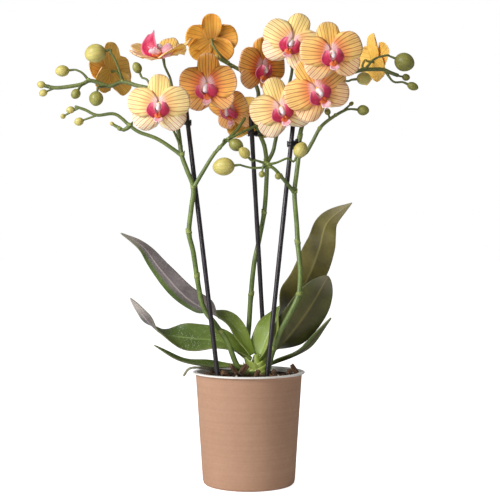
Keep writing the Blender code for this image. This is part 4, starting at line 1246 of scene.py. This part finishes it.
def makeBlossom(name):
    centre, facing, up, roll, size, owner, route = blossoms[name]
    tone, cup, lipSize, seed = blossomLooks[name]
    draw = random.Random(seed)
    bm = newMesh()
    blush = bm.verts.layers.float.new("blush")
    for tepal in tepals:
        tepalInto(bm, blush, tepal, cup, draw)
    for face in thicken(bm, set(), blossomShape["thickness"]):
        face.material_index = 0 if face.normal.z > -0.4 else 1
    known = set(bm.faces)
    scaleUp = lipSize * mm

    def at(*point):
        return Vector(point) * scaleUp

    upturned = name == "blossom_left_up"  # seen from below: one tall crimson lobe, the other pale
    for hand in (-1, 1):  # side lobes that stand up beside the column
        lobeRise, lobeWidth = (14, 5.2) if upturned and hand < 0 else (6.8, 3.7)
        lobeInto(bm, at(1.8 * hand, -9.2, 2.4), at(4.9 * hand, 1.2, lobeRise),
                 at(2.5 * hand, -0.4, 0.6), Vector((0.8 * hand, -0.3, -0.5)), lobeWidth * scaleUp,
                 1.3 * scaleUp, 0.45)
    for face in thicken(bm, known, blossomShape["lipWall"]):
        face.material_index = 3 if upturned and face.calc_center_median().x > 0 else 2
    known = set(bm.faces)
    lobeInto(bm, at(0, -9.4, 2.8), at(0, -14.2, 7.2), at(0, -1.0, -0.4), Vector((1, 0, 0)),
             3.5 * scaleUp, 1.0 * scaleUp, 0.9)
    for face in thicken(bm, known, blossomShape["lipWall"]):
        face.material_index = 3
    for hand in (-1, 1):  # whiskers at the tip of the lip
        whisker = routeThrough([at(0.3 * hand, -14.0, 7.0), at(1.2 * hand, -15.2, 7.8),
                                at(2.4 * hand, -14.8, 8.8), at(2.9 * hand, -13.6, 8.9)], 0.0008)
        tubeInto(bm, whisker, taperedRadii(len(whisker), 0.0003, 0.00012), 6, 3)
    ballInto(bm, at(0, -8.6, 3.0), at(3.3, 2.6, 1.7), 4)
    for hand in (-1, 1):
        ballInto(bm, at(1.1 * hand, -7.6, 4.6), at(1.0, 1.4, 1.2), 4, 12, 8)
    column = routeThrough([at(0, -0.6, 0.2), at(0, -0.4, 2.4), at(0, -1.4, 4.8), at(0, -3.4, 6.4)],
                          0.0006)
    count = len(column)
    radii = [(0.0015 + 0.0004 * math.sin(math.pi * min(1, index / count * 1.05)) ** 2
              + 0.0003 * index / count) * lipSize for index in range(count)]
    tubeInto(bm, column, radii, 16, 5)
    ballInto(bm, at(0, -3.6, 6.5), at(1.55, 1.4, 1.3), 5)
    # where the tepals join at the back
    ballInto(bm, Vector((0, 0, 0)), Vector((3.0, 3.0, 1.6)) * mm, 1)
    out = Vector(facing).normalized()
    across = Vector(up).cross(out).normalized()
    turn = Matrix((across, out.cross(across), out)).transposed().to_4x4()
    turn = turn @ Matrix.Rotation(math.radians(-roll), 4, "Z")
    matrix = Matrix.Translation(place(centre)) @ turn @ Matrix.Scale(size, 4)
    bmesh.ops.transform(bm, matrix=matrix, verts=bm.verts)
    finishes = [petalFronts[tone], petalBacks[tone], lipCrimson, lipPale, lipThroat, bloomColumn]
    return addPiece(name + "_bloom", bm, finishes, "blossom", name)


for blossomName in blossoms:
    makeBlossom(blossomName)
print("blossoms made")

oliveBuds = {"bud_centre_olive", "bud_left_near", "bud_right_large", "bud_right_tip",
             "bud_left_inner", "bud_right_lower", "bud_left_hanging"}
for budName, (centre, way, length, width, owner, route) in buds.items():
    bm = newMesh()
    budInto(bm, place(centre), way, length * mm, width * mm, 0)
    skin = budOlive if budName in oliveBuds else budYellow
    addPiece(budName + "_skin", bm, [skin], "bud", budName)
print("buds made")


# floor, light and camera

studio = dict(cameraPlace=(0.0011, -1.059, 0.221), lens=80.3, keyPower=31.0, fillPower=0.9,
              skyShare=0.235, paperGlow=0.95, bloomPower=30.0)


def makeStage(s):
    bm = newMesh()
    bmesh.ops.create_grid(bm, x_segments=4, y_segments=4, size=20)
    mesh = bpy.data.meshes.new("studioFloor")
    bm.to_mesh(mesh)
    bm.free()
    paper = Finish("studioPaper", 0.9)
    shade = paper.mottle(3.0)["Shade"]
    colour = twoTone(paper, shade, (247, 247, 247), (251, 251, 251))
    mesh.materials.append(paper.finish(colour))
    paper.tree.links.new(colour, paper.shader.inputs["Emission Color"])
    # the paper glows only to the eye
    seen = addNode(paper.tree, "LightPath").outputs["Is Camera Ray"]
    paper.tree.links.new(calc(paper.tree, "MULTIPLY", seen, s["paperGlow"]),
                         paper.shader.inputs["Emission Strength"])
    addObject("studio_floor", mesh)
    world = bpy.data.worlds.new("studioSky")
    bpy.context.scene.world = world
    world.use_nodes = True
    tree = world.node_tree  # the sky looks white but lights the plant softly
    seen = addNode(tree, "LightPath").outputs["Is Camera Ray"]
    tree.nodes["Background"].inputs["Color"].default_value = (1, 1, 1, 1)
    tree.links.new(calc(tree, "ADD", calc(tree, "MULTIPLY", seen, 1 - s["skyShare"]), s["skyShare"]),
                   tree.nodes["Background"].inputs["Strength"])


def addLamp(light, spot, target):
    lamp = addObject(light.name, light)
    lamp.location = spot
    lamp.rotation_euler = (Vector(target) - Vector(spot)).to_track_quat("-Z", "Y").to_euler()


def addSoftLight(name, spot, target, size, power, colour):
    light = bpy.data.lights.new(name, "AREA")
    light.shape, light.size, light.energy, light.color = "SQUARE", size, power, colour
    addLamp(light, spot, target)


def addBloomLight(spot, target, power):
    # narrow lamp that lifts the blossoms alone
    light = bpy.data.lights.new("bloom_light", "SPOT")
    light.energy, light.spot_size, light.spot_blend = power, math.radians(15), 0.8
    light.shadow_soft_size = 0.25
    addLamp(light, spot, target)


makeStage(studio)
addSoftLight("key_light", (-1.25, -0.95, 0.95), (0, 0, 0.22), 0.8, studio["keyPower"],
             (0.97, 0.98, 1))
addSoftLight("fill_light", (1.2, -1.3, 0.7), (0, 0, 0.25), 1.2, studio["fillPower"],
             (1, 0.86, 0.72))
addBloomLight((-0.7, -1.4, 0.75), (-0.02, 0, 0.39), studio["bloomPower"])
camera = addObject("camera", bpy.data.cameras.new("camera"))
camera.location = studio["cameraPlace"]
camera.rotation_euler = (math.radians(90), 0, 0)
camera.data.lens = studio["lens"]
camera.data.sensor_width = 36
bpy.context.scene.camera = camera
bpy.context.scene.view_settings.view_transform = "Standard"
